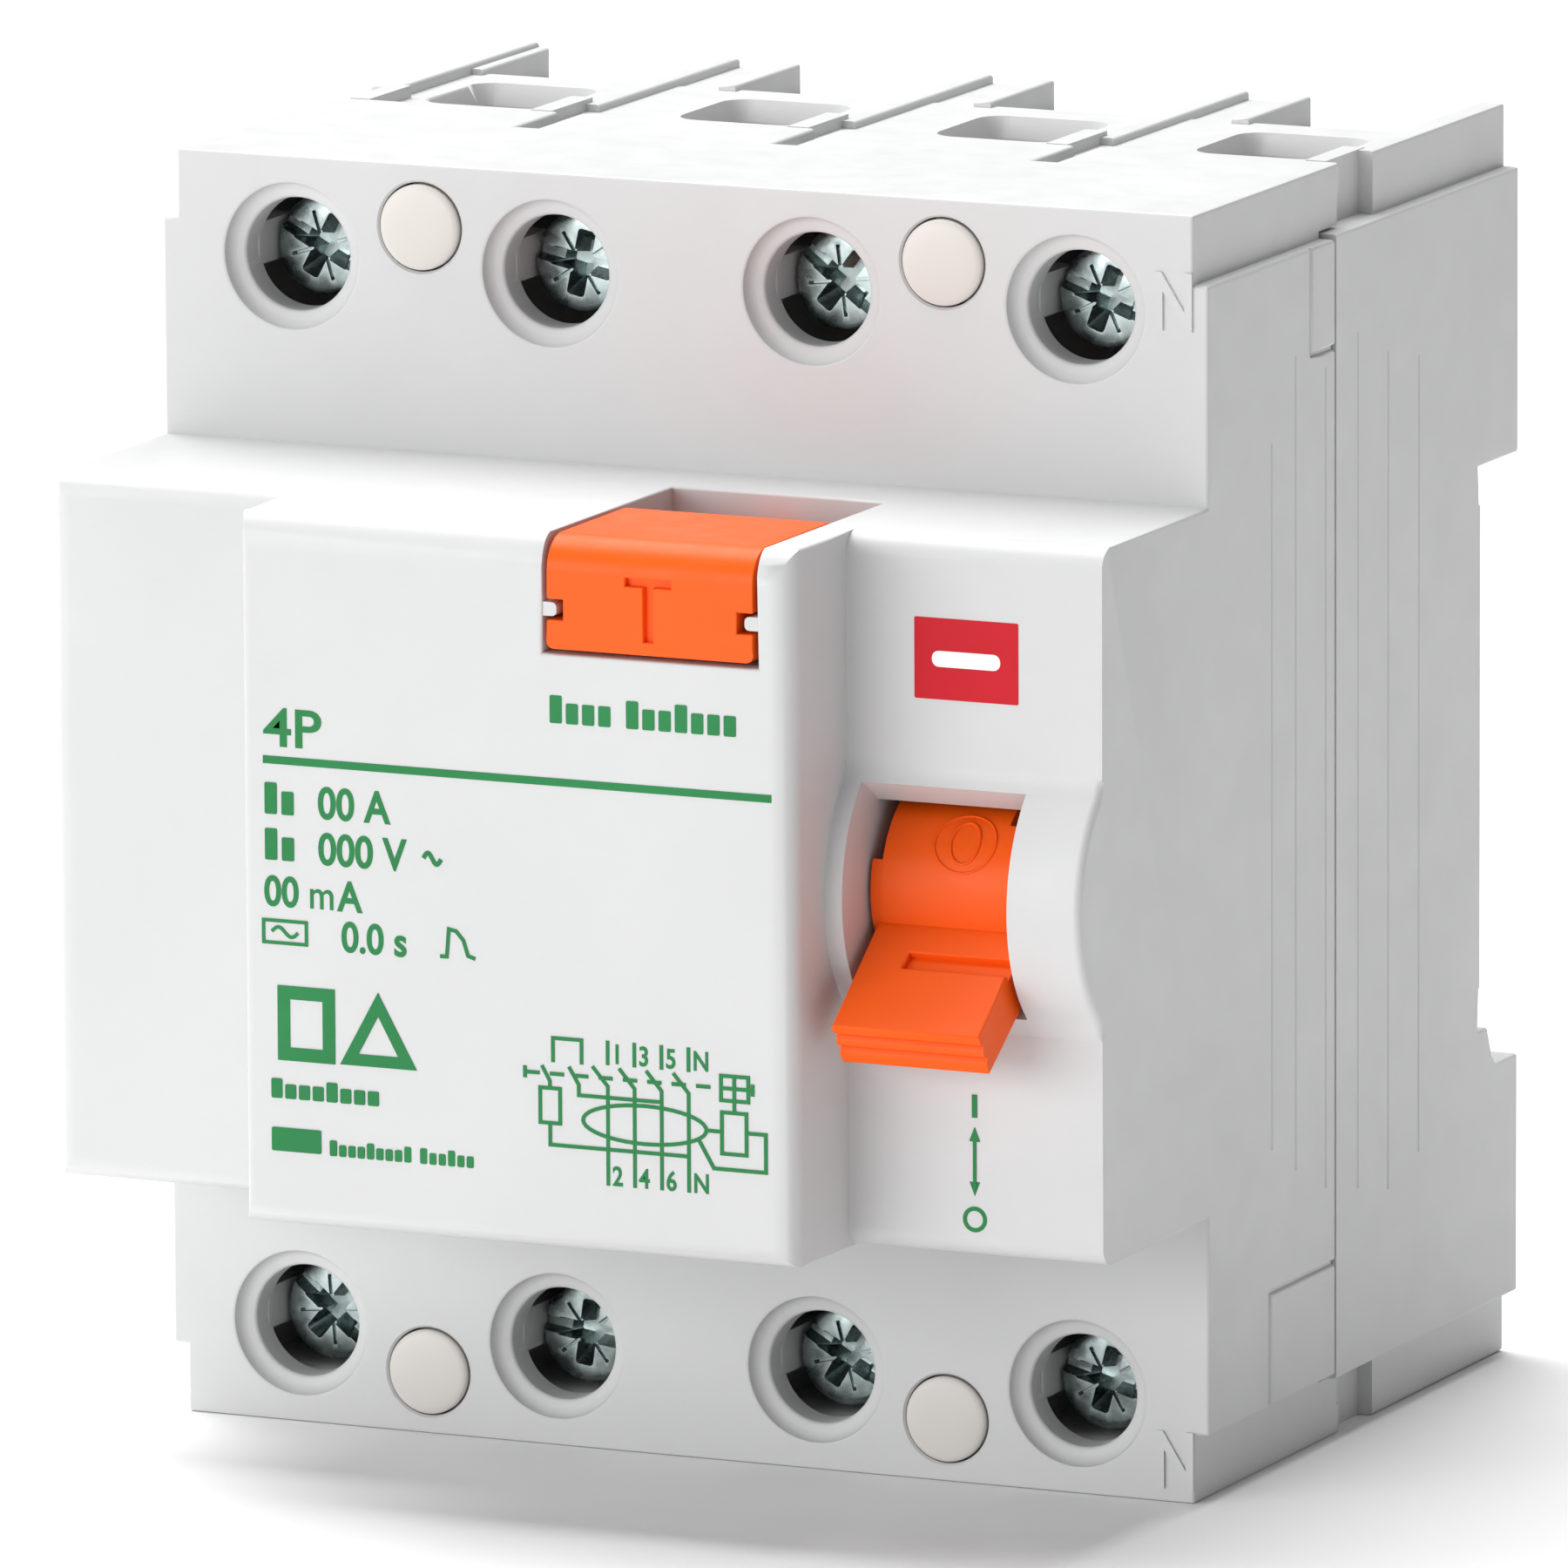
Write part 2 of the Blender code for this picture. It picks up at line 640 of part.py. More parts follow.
def test_button():
    """The orange test button, with a stem through the floor of its well to its contact spring."""
    button = box("test_button", BUTTON_X, (PANEL_Y, BUTTON_BACK_Y), BUTTON_Z, PARTS, ORANGE)
    bevel_top_front(button)
    middle = sum(BUTTON_X) / 2
    stem_y = (BUTTON_BACK_Y - 1, -46.9)
    add(button, [box("stem", span(middle, 1.5), stem_y, (17.3, 20.3))])
    notch_y = (PANEL_Y - 1, PANEL_Y + 3.6)
    letter_y = (PANEL_Y - 1, PANEL_Y + 0.5)
    cuts = [box("notch", span(x, 1.0), notch_y, (17.2, 18.5)) for x in BUTTON_X]
    cuts += [
        box("letter_bar", span(middle, 1.55), letter_y, (19.65, 20.2)),
        box("letter_stem", span(middle, 0.33), letter_y, (16.2, 19.7)),
    ]
    cut(button, cuts)
    set_origin(button, (middle, PANEL_Y, 18.9))
    box("test_contact_spring", (5.0, 13.4), (-44.6, -44.1), (16.0, 19.6), PARTS, STEEL)


def bevel_top_front(button):
    """Rounds the button's long edge where its top meets its front."""
    bm = bmesh.new()
    bm.from_mesh(button.data)
    front, top = PANEL_Y * MM, BUTTON_Z[1] * MM
    near = [v for v in bm.verts if abs(v.co.y - front) < 1e-6 and abs(v.co.z - top) < 1e-6]
    edges = [edge for edge in bm.edges if all(vert in near for vert in edge.verts)]
    bmesh.ops.bevel(bm, geom=edges, offset=2.2 * MM, segments=4, profile=0.5, affect="EDGES")
    bm.to_mesh(button.data)
    bm.free()


# ---------------------------------------------------------------- transformer and relay


def coil(middle, radius, z, turns, steps=8):
    """Points along a helix about an upright line, in mm."""
    count = turns * steps
    points = []
    for step in range(count + 1):
        turn = 2 * math.pi * step / steps
        rise = z[0] + (z[1] - z[0]) * step / count
        points.append((middle[0] + radius * math.cos(turn), middle[1] + radius * math.sin(turn), rise))
    return points


def winding():
    """A sleeve of wire around the core, open over the last sixth of the ring."""
    outer = ((7.9, -5.3), (14.1, -5.3), (14.1, 5.3), (7.9, 5.3))
    inner = ((8.7, -4.5), (13.3, -4.5), (13.3, 4.5), (8.7, 4.5))
    bm = bmesh.new()
    rings = [[bm.verts.new((r * MM, 0, z * MM)) for r, z in loop] for loop in (outer, inner)]
    for here in range(4):
        after = (here + 1) % 4
        bm.faces.new((rings[0][here], rings[0][after], rings[1][after], rings[1][here]))
    section = list(bm.faces) + list(bm.edges) + list(bm.verts)
    turn = math.radians(300)
    bmesh.ops.spin(bm, geom=section, cent=(0, 0, 0), axis=(0, 0, 1), angle=turn, steps=24)
    mesh = mesh_of("secondary_winding", bm)
    mesh.transform(Matrix.Translation(Vector(TOROID) * MM))
    return finish("secondary_winding", mesh, PARTS, ENAMEL)


def transformer():
    """The summation transformer: a core, its secondary winding and four primary conductors."""
    core_ends = (offset(TOROID, -4.2), offset(TOROID, 4.2))
    core = rod("toroid_core", *core_ends, 13.0, PARTS, FERRITE)
    cut(core, [rod("core_bore", offset(TOROID, -6), offset(TOROID, 6), 9.0)])
    winding()
    for number, centre in enumerate(POLES, 1):
        wire(f"primary_conductor_{number}", primary_route(number, centre), 0.9, COPPER)


def offset(place, rise):
    return place[0], place[1], place[2] + rise


def primary_route(number, centre):
    """From beside a contact arm, down through the core and back to the lower busbar."""
    hole_x = TOROID[0] + WIRE_HOLE_X[number - 1]
    hole_y = TOROID[1]
    high, low = (5.0, -12.6) if number % 2 else (8.5, -16.2)
    return [
        (centre, BAR_Y - 2.4, high),
        (centre, BAR_Y - 4.0, high),
        (hole_x, hole_y + 1.5, high),
        (hole_x, hole_y, high - 1.5),
        (hole_x, hole_y, low + 1.5),
        (hole_x, hole_y + 1.5, low),
        (centre, TONGUE_Y[0] - 3.6, low),
        (centre, TONGUE_Y[0] - GAP, low),
    ]


RELAY_X = (20.0, 33.0)
RELAY_Y = (-44.0, -30.0)
RELAY_Z = (-19.5, -6.0)
PLUNGER = (21.8, -41.0)
PLUNGER_TOP_Z = -2.6
TRIP_PIVOT = (-33.0, -1.0)


def trip_relay():
    """The relay's body, with two ears for the trip lever's pin."""
    relay = box("trip_relay", RELAY_X, RELAY_Y, RELAY_Z, PARTS, BLACK)
    ear_z = (RELAY_Z[1] - 1, 1.0)
    add(relay, [box("ear", x, (-34.4, -31.6), ear_z) for x in ((20.0, 20.6), (23.0, 23.6))])
    bores = [
        rod("bore", (*PLUNGER, RELAY_Z[1] - 6), (*PLUNGER, 0), 1.3, sides=SMALL_ROUND),
        rod("pivot_bore", (19, *TRIP_PIVOT), (24.5, *TRIP_PIVOT), 0.9, sides=SMALL_ROUND),
    ]
    return cut(relay, bores)


def trip_gear():
    """The trip relay, its plunger, the lever that the plunger lifts, and the bar's spring."""
    trip_relay()
    top = (*PLUNGER, PLUNGER_TOP_Z)
    foot = (*PLUNGER, RELAY_Z[1] - 5.4)
    set_origin(rod("relay_plunger", foot, top, 1.0, PARTS, STEEL, sides=SMALL_ROUND), top)
    lever = box("trip_lever", (20.9, 22.7), (-42.4, -31.8), (-2.2, 0.2), PARTS, STEEL)
    cut(lever, [rod("bore", (20, *TRIP_PIVOT), (24, *TRIP_PIVOT), 0.9, sides=SMALL_ROUND)])
    set_origin(lever, (21.8, *TRIP_PIVOT))
    pin_ends = [(x, *TRIP_PIVOT) for x in (19.6, 24.0)]
    rod("trip_lever_pin", *pin_ends, 0.6, PARTS, STEEL, sides=SMALL_ROUND)
    turns = coil((sum(CRANK_X) / 2, -34.0), 1.9, (RELAY_Z[1] + 0.6, 13.6), 6)
    wire("contact_bar_spring", turns, 0.3, STEEL)
    rod("test_resistor", (4, -52, 8), (13, -52, 8), 1.6, PARTS, ENAMEL, sides=SMALL_ROUND)


def build():
    front_housing()
    base_housing()
    terminals()
    fasteners()
    din_latches()
    toggle()
    toggle_link()
    contact_bar()
    test_button()
    transformer()
    trip_gear()


build()
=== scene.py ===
"""Looks of a four-pole residual current device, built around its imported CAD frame.

Sizes are in millimetres in the frame's own axes: X across the poles, Y back into the wall, Z up.
"""

import math

import bmesh
import bpy
from mathutils import Matrix, Vector
from mathutils.bvhtree import BVHTree


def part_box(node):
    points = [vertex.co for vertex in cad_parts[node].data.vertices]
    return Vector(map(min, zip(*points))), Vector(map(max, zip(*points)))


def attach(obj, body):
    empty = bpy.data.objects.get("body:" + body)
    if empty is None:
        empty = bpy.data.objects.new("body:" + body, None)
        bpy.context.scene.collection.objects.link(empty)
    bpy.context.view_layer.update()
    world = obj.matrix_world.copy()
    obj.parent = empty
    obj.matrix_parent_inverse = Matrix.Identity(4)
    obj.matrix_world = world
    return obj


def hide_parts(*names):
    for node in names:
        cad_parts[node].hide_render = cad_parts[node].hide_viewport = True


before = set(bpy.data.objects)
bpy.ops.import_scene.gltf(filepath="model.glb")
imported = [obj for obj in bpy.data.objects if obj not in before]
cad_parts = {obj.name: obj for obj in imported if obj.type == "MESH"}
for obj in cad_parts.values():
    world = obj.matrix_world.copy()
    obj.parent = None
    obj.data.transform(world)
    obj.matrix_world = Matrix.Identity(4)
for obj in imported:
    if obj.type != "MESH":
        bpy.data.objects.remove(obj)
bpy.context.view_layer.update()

MM = 0.001


def limits(node):
    """(low, high) of a CAD node along X, Y and Z in mm."""
    low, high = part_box(node)
    return [(low[i] / MM, high[i] / MM) for i in range(3)]


FRONT = limits("front_housing")
BASE = limits("base_housing")
BUTTON = limits("test_button")
SCREW = limits("terminal_screw_upper_1")
PLUG = limits("plug_cap_upper_left")

# Outline of the case
WIDE_X = FRONT[0][1]
NARROW_X = WIDE_X - 1.0
INSET_X = WIDE_X - 2.0
HALF_H = FRONT[2][1]
WIDE_Z = HALF_H - 4.4
BASE_WIDE_Z = HALF_H - 4.1
BACK_Y = BASE[1][1]
SEAM_Y = BASE[1][0] - 0.3
LIP_Y = FRONT[1][1]
PANEL_Y = FRONT[1][0]
SHOULDER_Y = -44.0
CAP_Y = -60.5
CAP_Z = 22.5
RIB_Y = -15.5
PANEL_X = (-19.0, 18.8)
WALL = 2.0
CAVITY_Z = 20.5
FLOOR_Z = HALF_H - 2.4
BLOCK_Z = HALF_H - 0.8
BLOCK_BACK_Y = -3.1

# Poles and terminals
POLES = (-27.0, -9.0, 9.0, 27.0)
RIB_X = (-18.0, 0.0, 18.0)
SIDES = {"upper": 1, "lower": -1}
SCREW_Z = (SCREW[2][0] + SCREW[2][1]) / 2
HEAD_Y = SCREW[1][0]
HEAD_R = (SCREW[0][1] - SCREW[0][0]) / 2
POCKET_HALF_X = 6.2
POCKET_Z = (23.9, 38.2)
ENTRY_HALF_X = 4.5
ENTRY_Y = (-15.9, -6.6)
PLUG_X = (-18.0, 18.0)
PLUG_Z = (PLUG[2][0] + PLUG[2][1]) / 2
PLUG_R = (PLUG[0][1] - PLUG[0][0]) / 2
RIVET_HOLE_R = 1.2

# Rail slot and latches
SLOT_TOP_Z = 18.2
SLOT_LOW_Z = -18.5
SEAT_HALF_Z = 15.7
LATCH_X = (-8.4, 8.4)

# Toggle
TOGGLE_Y = -54.4
BULGE_R = 9.6
DRUM_R = 6.0
HUB_R = 2.7
PIN_HOLE_R = 1.55
LEVER_ROOT = (-58.7, -0.9)
LEVER_TIP = (-67.2, -7.15)
OPENING_X = (20.0, 31.1)
LINK_X = (28.9, 31.3)
RELIEF_TURN = 132

# Test button
WELL_X = (1.9, 16.5)
WELL_Z = 15.1
WELL_Y = -49.4
BUTTON_X, BUTTON_Z = BUTTON[0], BUTTON[2]
BUTTON_BACK_Y = -57.2

FINE = 64
PLAIN = 24


# ---------------------------------------------------------------- shapes


def finish(name, mesh):
    obj = bpy.data.objects.new(name, mesh)
    bpy.context.scene.collection.objects.link(obj)
    return obj


def mesh_of(name, bm):
    bmesh.ops.recalc_face_normals(bm, faces=bm.faces)
    mesh = bpy.data.meshes.new(name)
    bm.to_mesh(mesh)
    bm.free()
    return mesh


def apply(obj):
    """Turns the object's modifiers, or its curve, into its mesh."""
    graph = bpy.context.evaluated_depsgraph_get()
    mesh = bpy.data.meshes.new_from_object(obj.evaluated_get(graph))
    if obj.type == "MESH":
        obj.modifiers.clear()
        obj.data = mesh
        return obj
    made = finish(obj.name + "_mesh", mesh)
    made.matrix_world = obj.matrix_world
    bpy.data.objects.remove(obj)
    return made


def box(name, x, y, z, rounds=None, steps=6):
    """A box between limits in mm. rounds maps pairs of faces, such as '-y+z', to the radius of their edge."""
    bm = bmesh.new()
    bmesh.ops.create_cube(bm, size=1.0)
    bmesh.ops.scale(bm, vec=[(hi - lo) * MM for lo, hi in (x, y, z)], verts=bm.verts)
    middle = Vector([(hi + lo) / 2 * MM for lo, hi in (x, y, z)])
    widest = max(rounds.values()) if rounds else 0
    if rounds:
        weight = bm.edges.layers.float.new("bevel_weight_edge")
        for faces, radius in rounds.items():
            sides = [("xyz".index(faces[i + 1]), 1 if faces[i] == "+" else -1) for i in (0, 2)]
            for edge in bm.edges:
                if all(vert.co[axis] * sign > 0 for axis, sign in sides for vert in edge.verts):
                    edge[weight] = radius / widest
    bmesh.ops.translate(bm, vec=middle, verts=bm.verts)
    obj = finish(name, mesh_of(name, bm))
    if rounds:
        bevel = obj.modifiers.new("rounds", "BEVEL")
        bevel.limit_method = "WEIGHT"
        bevel.width = widest * MM
        bevel.segments = steps
        apply(obj)
    return obj


def span(middle, half):
    return middle - half, middle + half


def flip(pair, side):
    return tuple(sorted(side * value for value in pair))


def rod(name, start, end, radius, sides=FINE):
    """A cylinder in mm between two points."""
    start, end = Vector(start) * MM, Vector(end) * MM
    turn = (end - start).to_track_quat("Z", "Y").to_matrix().to_4x4()
    bm = bmesh.new()
    bmesh.ops.create_cone(
        bm,
        cap_ends=True,
        segments=sides,
        radius1=radius * MM,
        radius2=radius * MM,
        depth=(end - start).length,
        matrix=Matrix.Translation((start + end) / 2) @ turn,
    )
    return finish(name, mesh_of(name, bm))


def turned(name, x, z, profile, sides=FINE):
    """A closed solid of revolution about a line along Y, from (y, radius) points."""
    bm = bmesh.new()
    rings = []
    for y, radius in profile:
        ring = []
        for step in range(sides):
            angle = 2 * math.pi * step / sides
            place = (x + radius * math.cos(angle), y, z + radius * math.sin(angle))
            ring.append(bm.verts.new(Vector(place) * MM))
        rings.append(ring)
    for near, far in zip(rings, rings[1:]):
        for here in range(sides):
            after = (here + 1) % sides
            bm.faces.new((near[here], near[after], far[after], far[here]))
    bm.faces.new(rings[0])
    bm.faces.new(rings[-1])
    return finish(name, mesh_of(name, bm))


def extruded(name, outline, low, high, axis=0, top=None):
    """An outline of points across an axis, extruded in mm between two limits; top is a second outline."""
    bm = bmesh.new()
    others = [i for i in range(3) if i != axis]

    def ring(points, level):
        verts = []
        for a, b in points:
            place = [0.0, 0.0, 0.0]
            place[axis], place[others[0]], place[others[1]] = level, a, b
            verts.append(bm.verts.new(Vector(place) * MM))
        return verts

    near, far = ring(outline, low), ring(top or outline, high)
    count = len(near)
    for here in range(count):
        after = (here + 1) % count
        bm.faces.new((near[here], near[after], far[after], far[here]))
    bm.faces.new(near)
    bm.faces.new(far)
    return finish(name, mesh_of(name, bm))


def arc(middle, radius, start, end, steps):
    """Points of an arc in degrees, both ends included."""
    points = []
    for step in range(steps + 1):
        angle = math.radians(start + (end - start) * step / steps)
        points.append((middle[0] + radius * math.cos(angle), middle[1] + radius * math.sin(angle)))
    return points


def rounded_rectangle(a, b, radius, steps=5):
    """The outline of a rectangle with round corners."""
    points = []
    corners = ((a[1], b[1], 0), (a[0], b[1], 90), (a[0], b[0], 180), (a[1], b[0], 270))
    for u, v, start in corners:
        middle = (u - math.copysign(radius, u - sum(a) / 2), v - math.copysign(radius, v - sum(b) / 2))
        points += arc(middle, radius, start, start + 90, steps)
    return points


def combine(obj, pieces, operation):
    """Adds all these pieces to obj, or cuts them from it, and applies the result."""
    group = bpy.data.collections.new(operation)
    bpy.context.scene.collection.children.link(group)
    for piece in pieces:
        group.objects.link(piece)
    boolean = obj.modifiers.new(operation, "BOOLEAN")
    boolean.operand_type = "COLLECTION"
    boolean.operation = operation
    boolean.solver = "EXACT"
    boolean.collection = group
    apply(obj)
    for piece in pieces:
        bpy.data.objects.remove(piece)
    bpy.data.collections.remove(group)
    return obj


def add(obj, pieces):
    return combine(obj, pieces, "UNION")


def cut(obj, pieces):
    return combine(obj, pieces, "DIFFERENCE")


def open_outward(tree, edge):
    """True if nothing of the piece stands in front of this edge."""
    normal = (edge.link_faces[0].normal + edge.link_faces[1].normal).normalized()
    start = (edge.verts[0].co + edge.verts[1].co) / 2 + normal * 0.02 * MM
    return tree.ray_cast(start, normal, 0.05)[0] is None


def soften(obj, width, shortest=0.8, turn=50, skip=None, broad=None):
    """Rounds the sharp outer edges that are long enough, then smooths the shading.

    Edges that pass the skip test stay sharp. broad is (width, test) for edges that are rounded more.
    """
    bm = bmesh.new()
    bm.from_mesh(obj.data)
    bmesh.ops.remove_doubles(bm, verts=bm.verts, dist=2e-6)
    bmesh.ops.dissolve_limit(bm, angle_limit=math.radians(0.5), verts=bm.verts, edges=bm.edges)
    bm.normal_update()
    tree = BVHTree.FromBMesh(bm)
    is_fine = bm.edges.layers.float.new("fine")
    wide = []
    for edge in bm.edges:
        if len(edge.link_faces) != 2 or not edge.is_convex:
            continue
        if edge.calc_face_angle() < math.radians(turn):
            continue
        if skip and skip(edge):
            continue
        if broad and broad[1](edge):
            wide.append(edge)
        elif edge.calc_length() >= shortest * MM and open_outward(tree, edge):
            edge[is_fine] = 1.0
    if wide:
        bmesh.ops.bevel(
            bm, geom=wide, offset=broad[0] * MM, offset_type="OFFSET", segments=4, profile=0.5,
            affect="EDGES", clamp_overlap=False,
        )
    chosen = [edge for edge in bm.edges if edge[is_fine] > 0.5 and edge.calc_length() > width * MM]
    bmesh.ops.bevel(
        bm, geom=chosen, offset=width * MM, offset_type="OFFSET", segments=2, profile=0.5,
        affect="EDGES", clamp_overlap=False,
    )
    bm.to_mesh(obj.data)
    bm.free()
    return smooth(obj)


def smooth(obj, turn=42):
    obj.data.shade_smooth()
    obj.data.set_sharp_from_angle(angle=math.radians(turn))
    weighted = obj.modifiers.new("weighted", "WEIGHTED_NORMAL")
    weighted.keep_sharp = True
    return obj


# ---------------------------------------------------------------- materials


def new_material(name):
    made = bpy.data.materials.new(name)
    made.use_nodes = True
    return made, made.node_tree, made.node_tree.nodes["Principled BSDF"]


def noise(tree, scale, detail=3.0, roughness=0.5, stretch=(1, 1, 1)):
    """A noise texture in the frame's own space."""
    place = tree.nodes.new("ShaderNodeTexCoord")
    mapping = tree.nodes.new("ShaderNodeMapping")
    mapping.inputs["Scale"].default_value = stretch
    texture = tree.nodes.new("ShaderNodeTexNoise")
    texture.inputs["Scale"].default_value = scale
    texture.inputs["Detail"].default_value = detail
    texture.inputs["Roughness"].default_value = roughness
    tree.links.new(place.outputs["Object"], mapping.inputs["Vector"])
    tree.links.new(mapping.outputs["Vector"], texture.inputs["Vector"])
    return texture.outputs["Fac"]


# Most values of a noise texture lie between these two
NOISE_LOW = 0.3
NOISE_HIGH = 0.7


def ramp(tree, source, low, high):
    """A colour that runs between two colours with a texture."""
    node = tree.nodes.new("ShaderNodeValToRGB")
    node.color_ramp.elements[0].position = NOISE_LOW
    node.color_ramp.elements[1].position = NOISE_HIGH
    node.color_ramp.elements[0].color = (*low, 1)
    node.color_ramp.elements[1].color = (*high, 1)
    tree.links.new(source, node.inputs["Fac"])
    return node.outputs["Color"]


def level(tree, source, low, high):
    """A number that runs between two values with a texture."""
    node = tree.nodes.new("ShaderNodeMapRange")
    node.inputs["From Min"].default_value = NOISE_LOW
    node.inputs["From Max"].default_value = NOISE_HIGH
    node.inputs["To Min"].default_value = low
    node.inputs["To Max"].default_value = high
    tree.links.new(source, node.inputs["Value"])
    return node.outputs["Result"]


def bump(tree, shader, height, strength, distance):
    node = tree.nodes.new("ShaderNodeBump")
    node.inputs["Strength"].default_value = strength
    node.inputs["Distance"].default_value = distance * MM
    tree.links.new(height, node.inputs["Height"])
    tree.links.new(node.outputs["Normal"], shader.inputs["Normal"])


def shade(colour, factor):
    return tuple(min(1.0, channel * factor) for channel in colour)


def moulded(name, colour, roughness, depth=0.03, spread=0.02, shine=0.4):
    """Moulded plastic: a spark-eroded grain, faint flow clouds and roughness that varies."""
    made, tree, shader = new_material(name)
    clouds = noise(tree, 55.0, 4.0)
    colours = ramp(tree, clouds, shade(colour, 1 - spread), shade(colour, 1 + spread))
    tree.links.new(colours, shader.inputs["Base Color"])
    tree.links.new(
        level(tree, noise(tree, 400.0), roughness - 0.06, roughness + 0.06),
        shader.inputs["Roughness"],
    )
    grain = noise(tree, 2600.0, 2.0, 0.6)
    bump(tree, shader, grain, 0.35, depth)
    shader.inputs["Specular IOR Level"].default_value = shine
    return made


def plated(name, colour, roughness, streak=(1, 1, 1), scale=900.0, dark=0.55):
    """Plated or bare metal with uneven tone and fine machining marks."""
    made, tree, shader = new_material(name)
    shader.inputs["Metallic"].default_value = 1.0
    patches = noise(tree, 320.0, 4.0, 0.6)
    colours = ramp(tree, patches, shade(colour, dark), colour)
    tree.links.new(colours, shader.inputs["Base Color"])
    marks = noise(tree, scale, 3.0, 0.6, streak)
    tree.links.new(level(tree, marks, roughness * 0.7, roughness * 1.4), shader.inputs["Roughness"])
    bump(tree, shader, marks, 0.35, 0.03)
    return made


def woven_tape(name, colour):
    made, tree, shader = new_material(name)
    fibres = noise(tree, 700.0, 5.0, 0.7, (1, 1, 6))
    tree.links.new(ramp(tree, fibres, shade(colour, 0.6), shade(colour, 1.15)), shader.inputs["Base Color"])
    tree.links.new(level(tree, fibres, 0.5, 0.75), shader.inputs["Roughness"])
    bump(tree, shader, fibres, 0.6, 0.1)
    return made


CASE_GREY = moulded("case_grey_plastic", (0.59, 0.592, 0.595), 0.5)
ORANGE = moulded("orange_plastic", (0.87, 0.1, 0.004), 0.42, depth=0.02, spread=0.05, shine=0.2)
PLUG_WHITE = moulded("plug_plastic", (0.64, 0.61, 0.575), 0.38, depth=0.012)
BLACK = moulded("latch_plastic", (0.028, 0.028, 0.03), 0.42, spread=0.2)
PRINT_GREEN = moulded("green_print", (0.018, 0.19, 0.055), 0.5, spread=0.12, depth=0.01, shine=0.2)
LABEL_RED = moulded("red_label", (0.55, 0.002, 0.012), 0.35, spread=0.06, depth=0.005, shine=0.2)
LABEL_WHITE = moulded("label_white", (0.85, 0.85, 0.85), 0.4, depth=0.005)
ZINC = plated("zinc_screw_metal", (0.46, 0.54, 0.53), 0.27, dark=0.35)
CLAMP_ZINC = plated("zinc_clamp_metal", (0.55, 0.58, 0.58), 0.36, (1, 5, 1))
COPPER = plated("copper_metal", (0.86, 0.42, 0.24), 0.3, (1, 1, 5), dark=0.7)
STEEL = plated("steel_metal", (0.58, 0.58, 0.57), 0.3, (4, 1, 1), dark=0.7)
CORE_TAPE = woven_tape("core_tape_wrap", (0.42, 0.34, 0.2))
ENAMEL = plated("enamelled_copper", (0.5, 0.17, 0.05), 0.28, (1, 1, 14), scale=500.0)
RESISTOR = moulded("resistor_lacquer", (0.55, 0.4, 0.25), 0.35, spread=0.1)


def dress(obj, material, slot, body, *nodes):
    """Gives a piece its material, the body that it rides on and the nodes that it replaces. The slot is not
    used.
    """
    obj.data.materials.clear()
    obj.data.materials.append(material)
    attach(obj, body)
    if nodes:
        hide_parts(*nodes)
    return obj


# ---------------------------------------------------------------- front half of the case


def front_shell():
    front = box("front_shell", (-WIDE_X, WIDE_X), (SHOULDER_Y, SEAM_Y), (-WIDE_Z, WIDE_Z))
    cap_rounds = {"-y+z": 1.4, "-y-z": 1.4, "-x-y": 1.4}
    panel_rounds = {"-y+z": 2.2, "-y-z": 1.3, "-x-y": 0.9, "+x-y": 1.5}
    solids = [
        box("strips", (-NARROW_X, NARROW_X), (SHOULDER_Y, SEAM_Y - 0.2), (-HALF_H, HALF_H)),
        box("cap", (-WIDE_X, WIDE_X), (CAP_Y, SHOULDER_Y + 3), (-CAP_Z, CAP_Z), cap_rounds),
        box("panel", PANEL_X, (PANEL_Y, CAP_Y + 3), (-CAP_Z, CAP_Z), panel_rounds, 8),
        extruded("bulge", bulge_outline(), PANEL_X[1] - 0.5, WIDE_X),
    ]
    for side in SIDES.values():
        lip_z = flip((HALF_H - 1.9, HALF_H), side)
        solids.append(box("lip", (-NARROW_X, NARROW_X), (SEAM_Y - 1, LIP_Y), lip_z))
        for hand in (-1, 1):
            cheek_x = flip((INSET_X + 0.15, NARROW_X), hand)
            cheek_z = flip((BASE_WIDE_Z + 0.2, HALF_H - 1), side)
            solids.append(box("cheek", cheek_x, (SEAM_Y - 1, LIP_Y - 0.3), cheek_z))
    add(front, solids)
    cut(front, front_cavities())
    cut(front, front_openings())
    add(front, front_details())
    cut(front, front_grooves())
    soften(front, 0.22, skip=seam_edge, broad=(0.5, guard_edge))
    return dress(front, CASE_GREY, "case_grey", "case", "front_housing")


def seam_edge(edge):
    """True for the edges hidden in the seam and around the lip behind it."""
    return all(vert.co.y > (SEAM_Y - 0.5) * MM for vert in edge.verts)


def block_edge(edge):
    """True for the crowded edges between the lip of the front and the ribs of the base."""
    return all(vert.co.y < (RIB_Y + 1.2) * MM and abs(vert.co.z) > BASE_WIDE_Z * MM for vert in edge.verts)


def guard_edge(edge):
    """True for the right-hand edge of the cap and of the guard around the toggle."""
    face = (WIDE_X - 0.01) * MM
    return all(vert.co.x > face and vert.co.y < (CAP_Y + 0.01) * MM for vert in edge.verts)


def bulge_outline():
    """Side view of the guard around the toggle: a drum that flows into the cap's front."""
    fillet = 2.5
    rise = CAP_Y - fillet - TOGGLE_Y
    reach = BULGE_R + fillet
    side = math.sqrt(reach * reach - rise * rise)
    middle = (TOGGLE_Y + rise + 0.015, side)
    turn = math.degrees(math.atan2(side, -rise))
    top = [(CAP_Y + 4, side)] + arc(middle, fillet, 0, -turn, 6)
    drum = arc((TOGGLE_Y, 0), BULGE_R, 180 - turn, 180 + turn, 30)[1:-1]
    bottom = [(y, -z) for y, z in reversed(top)]
    return top + drum + bottom


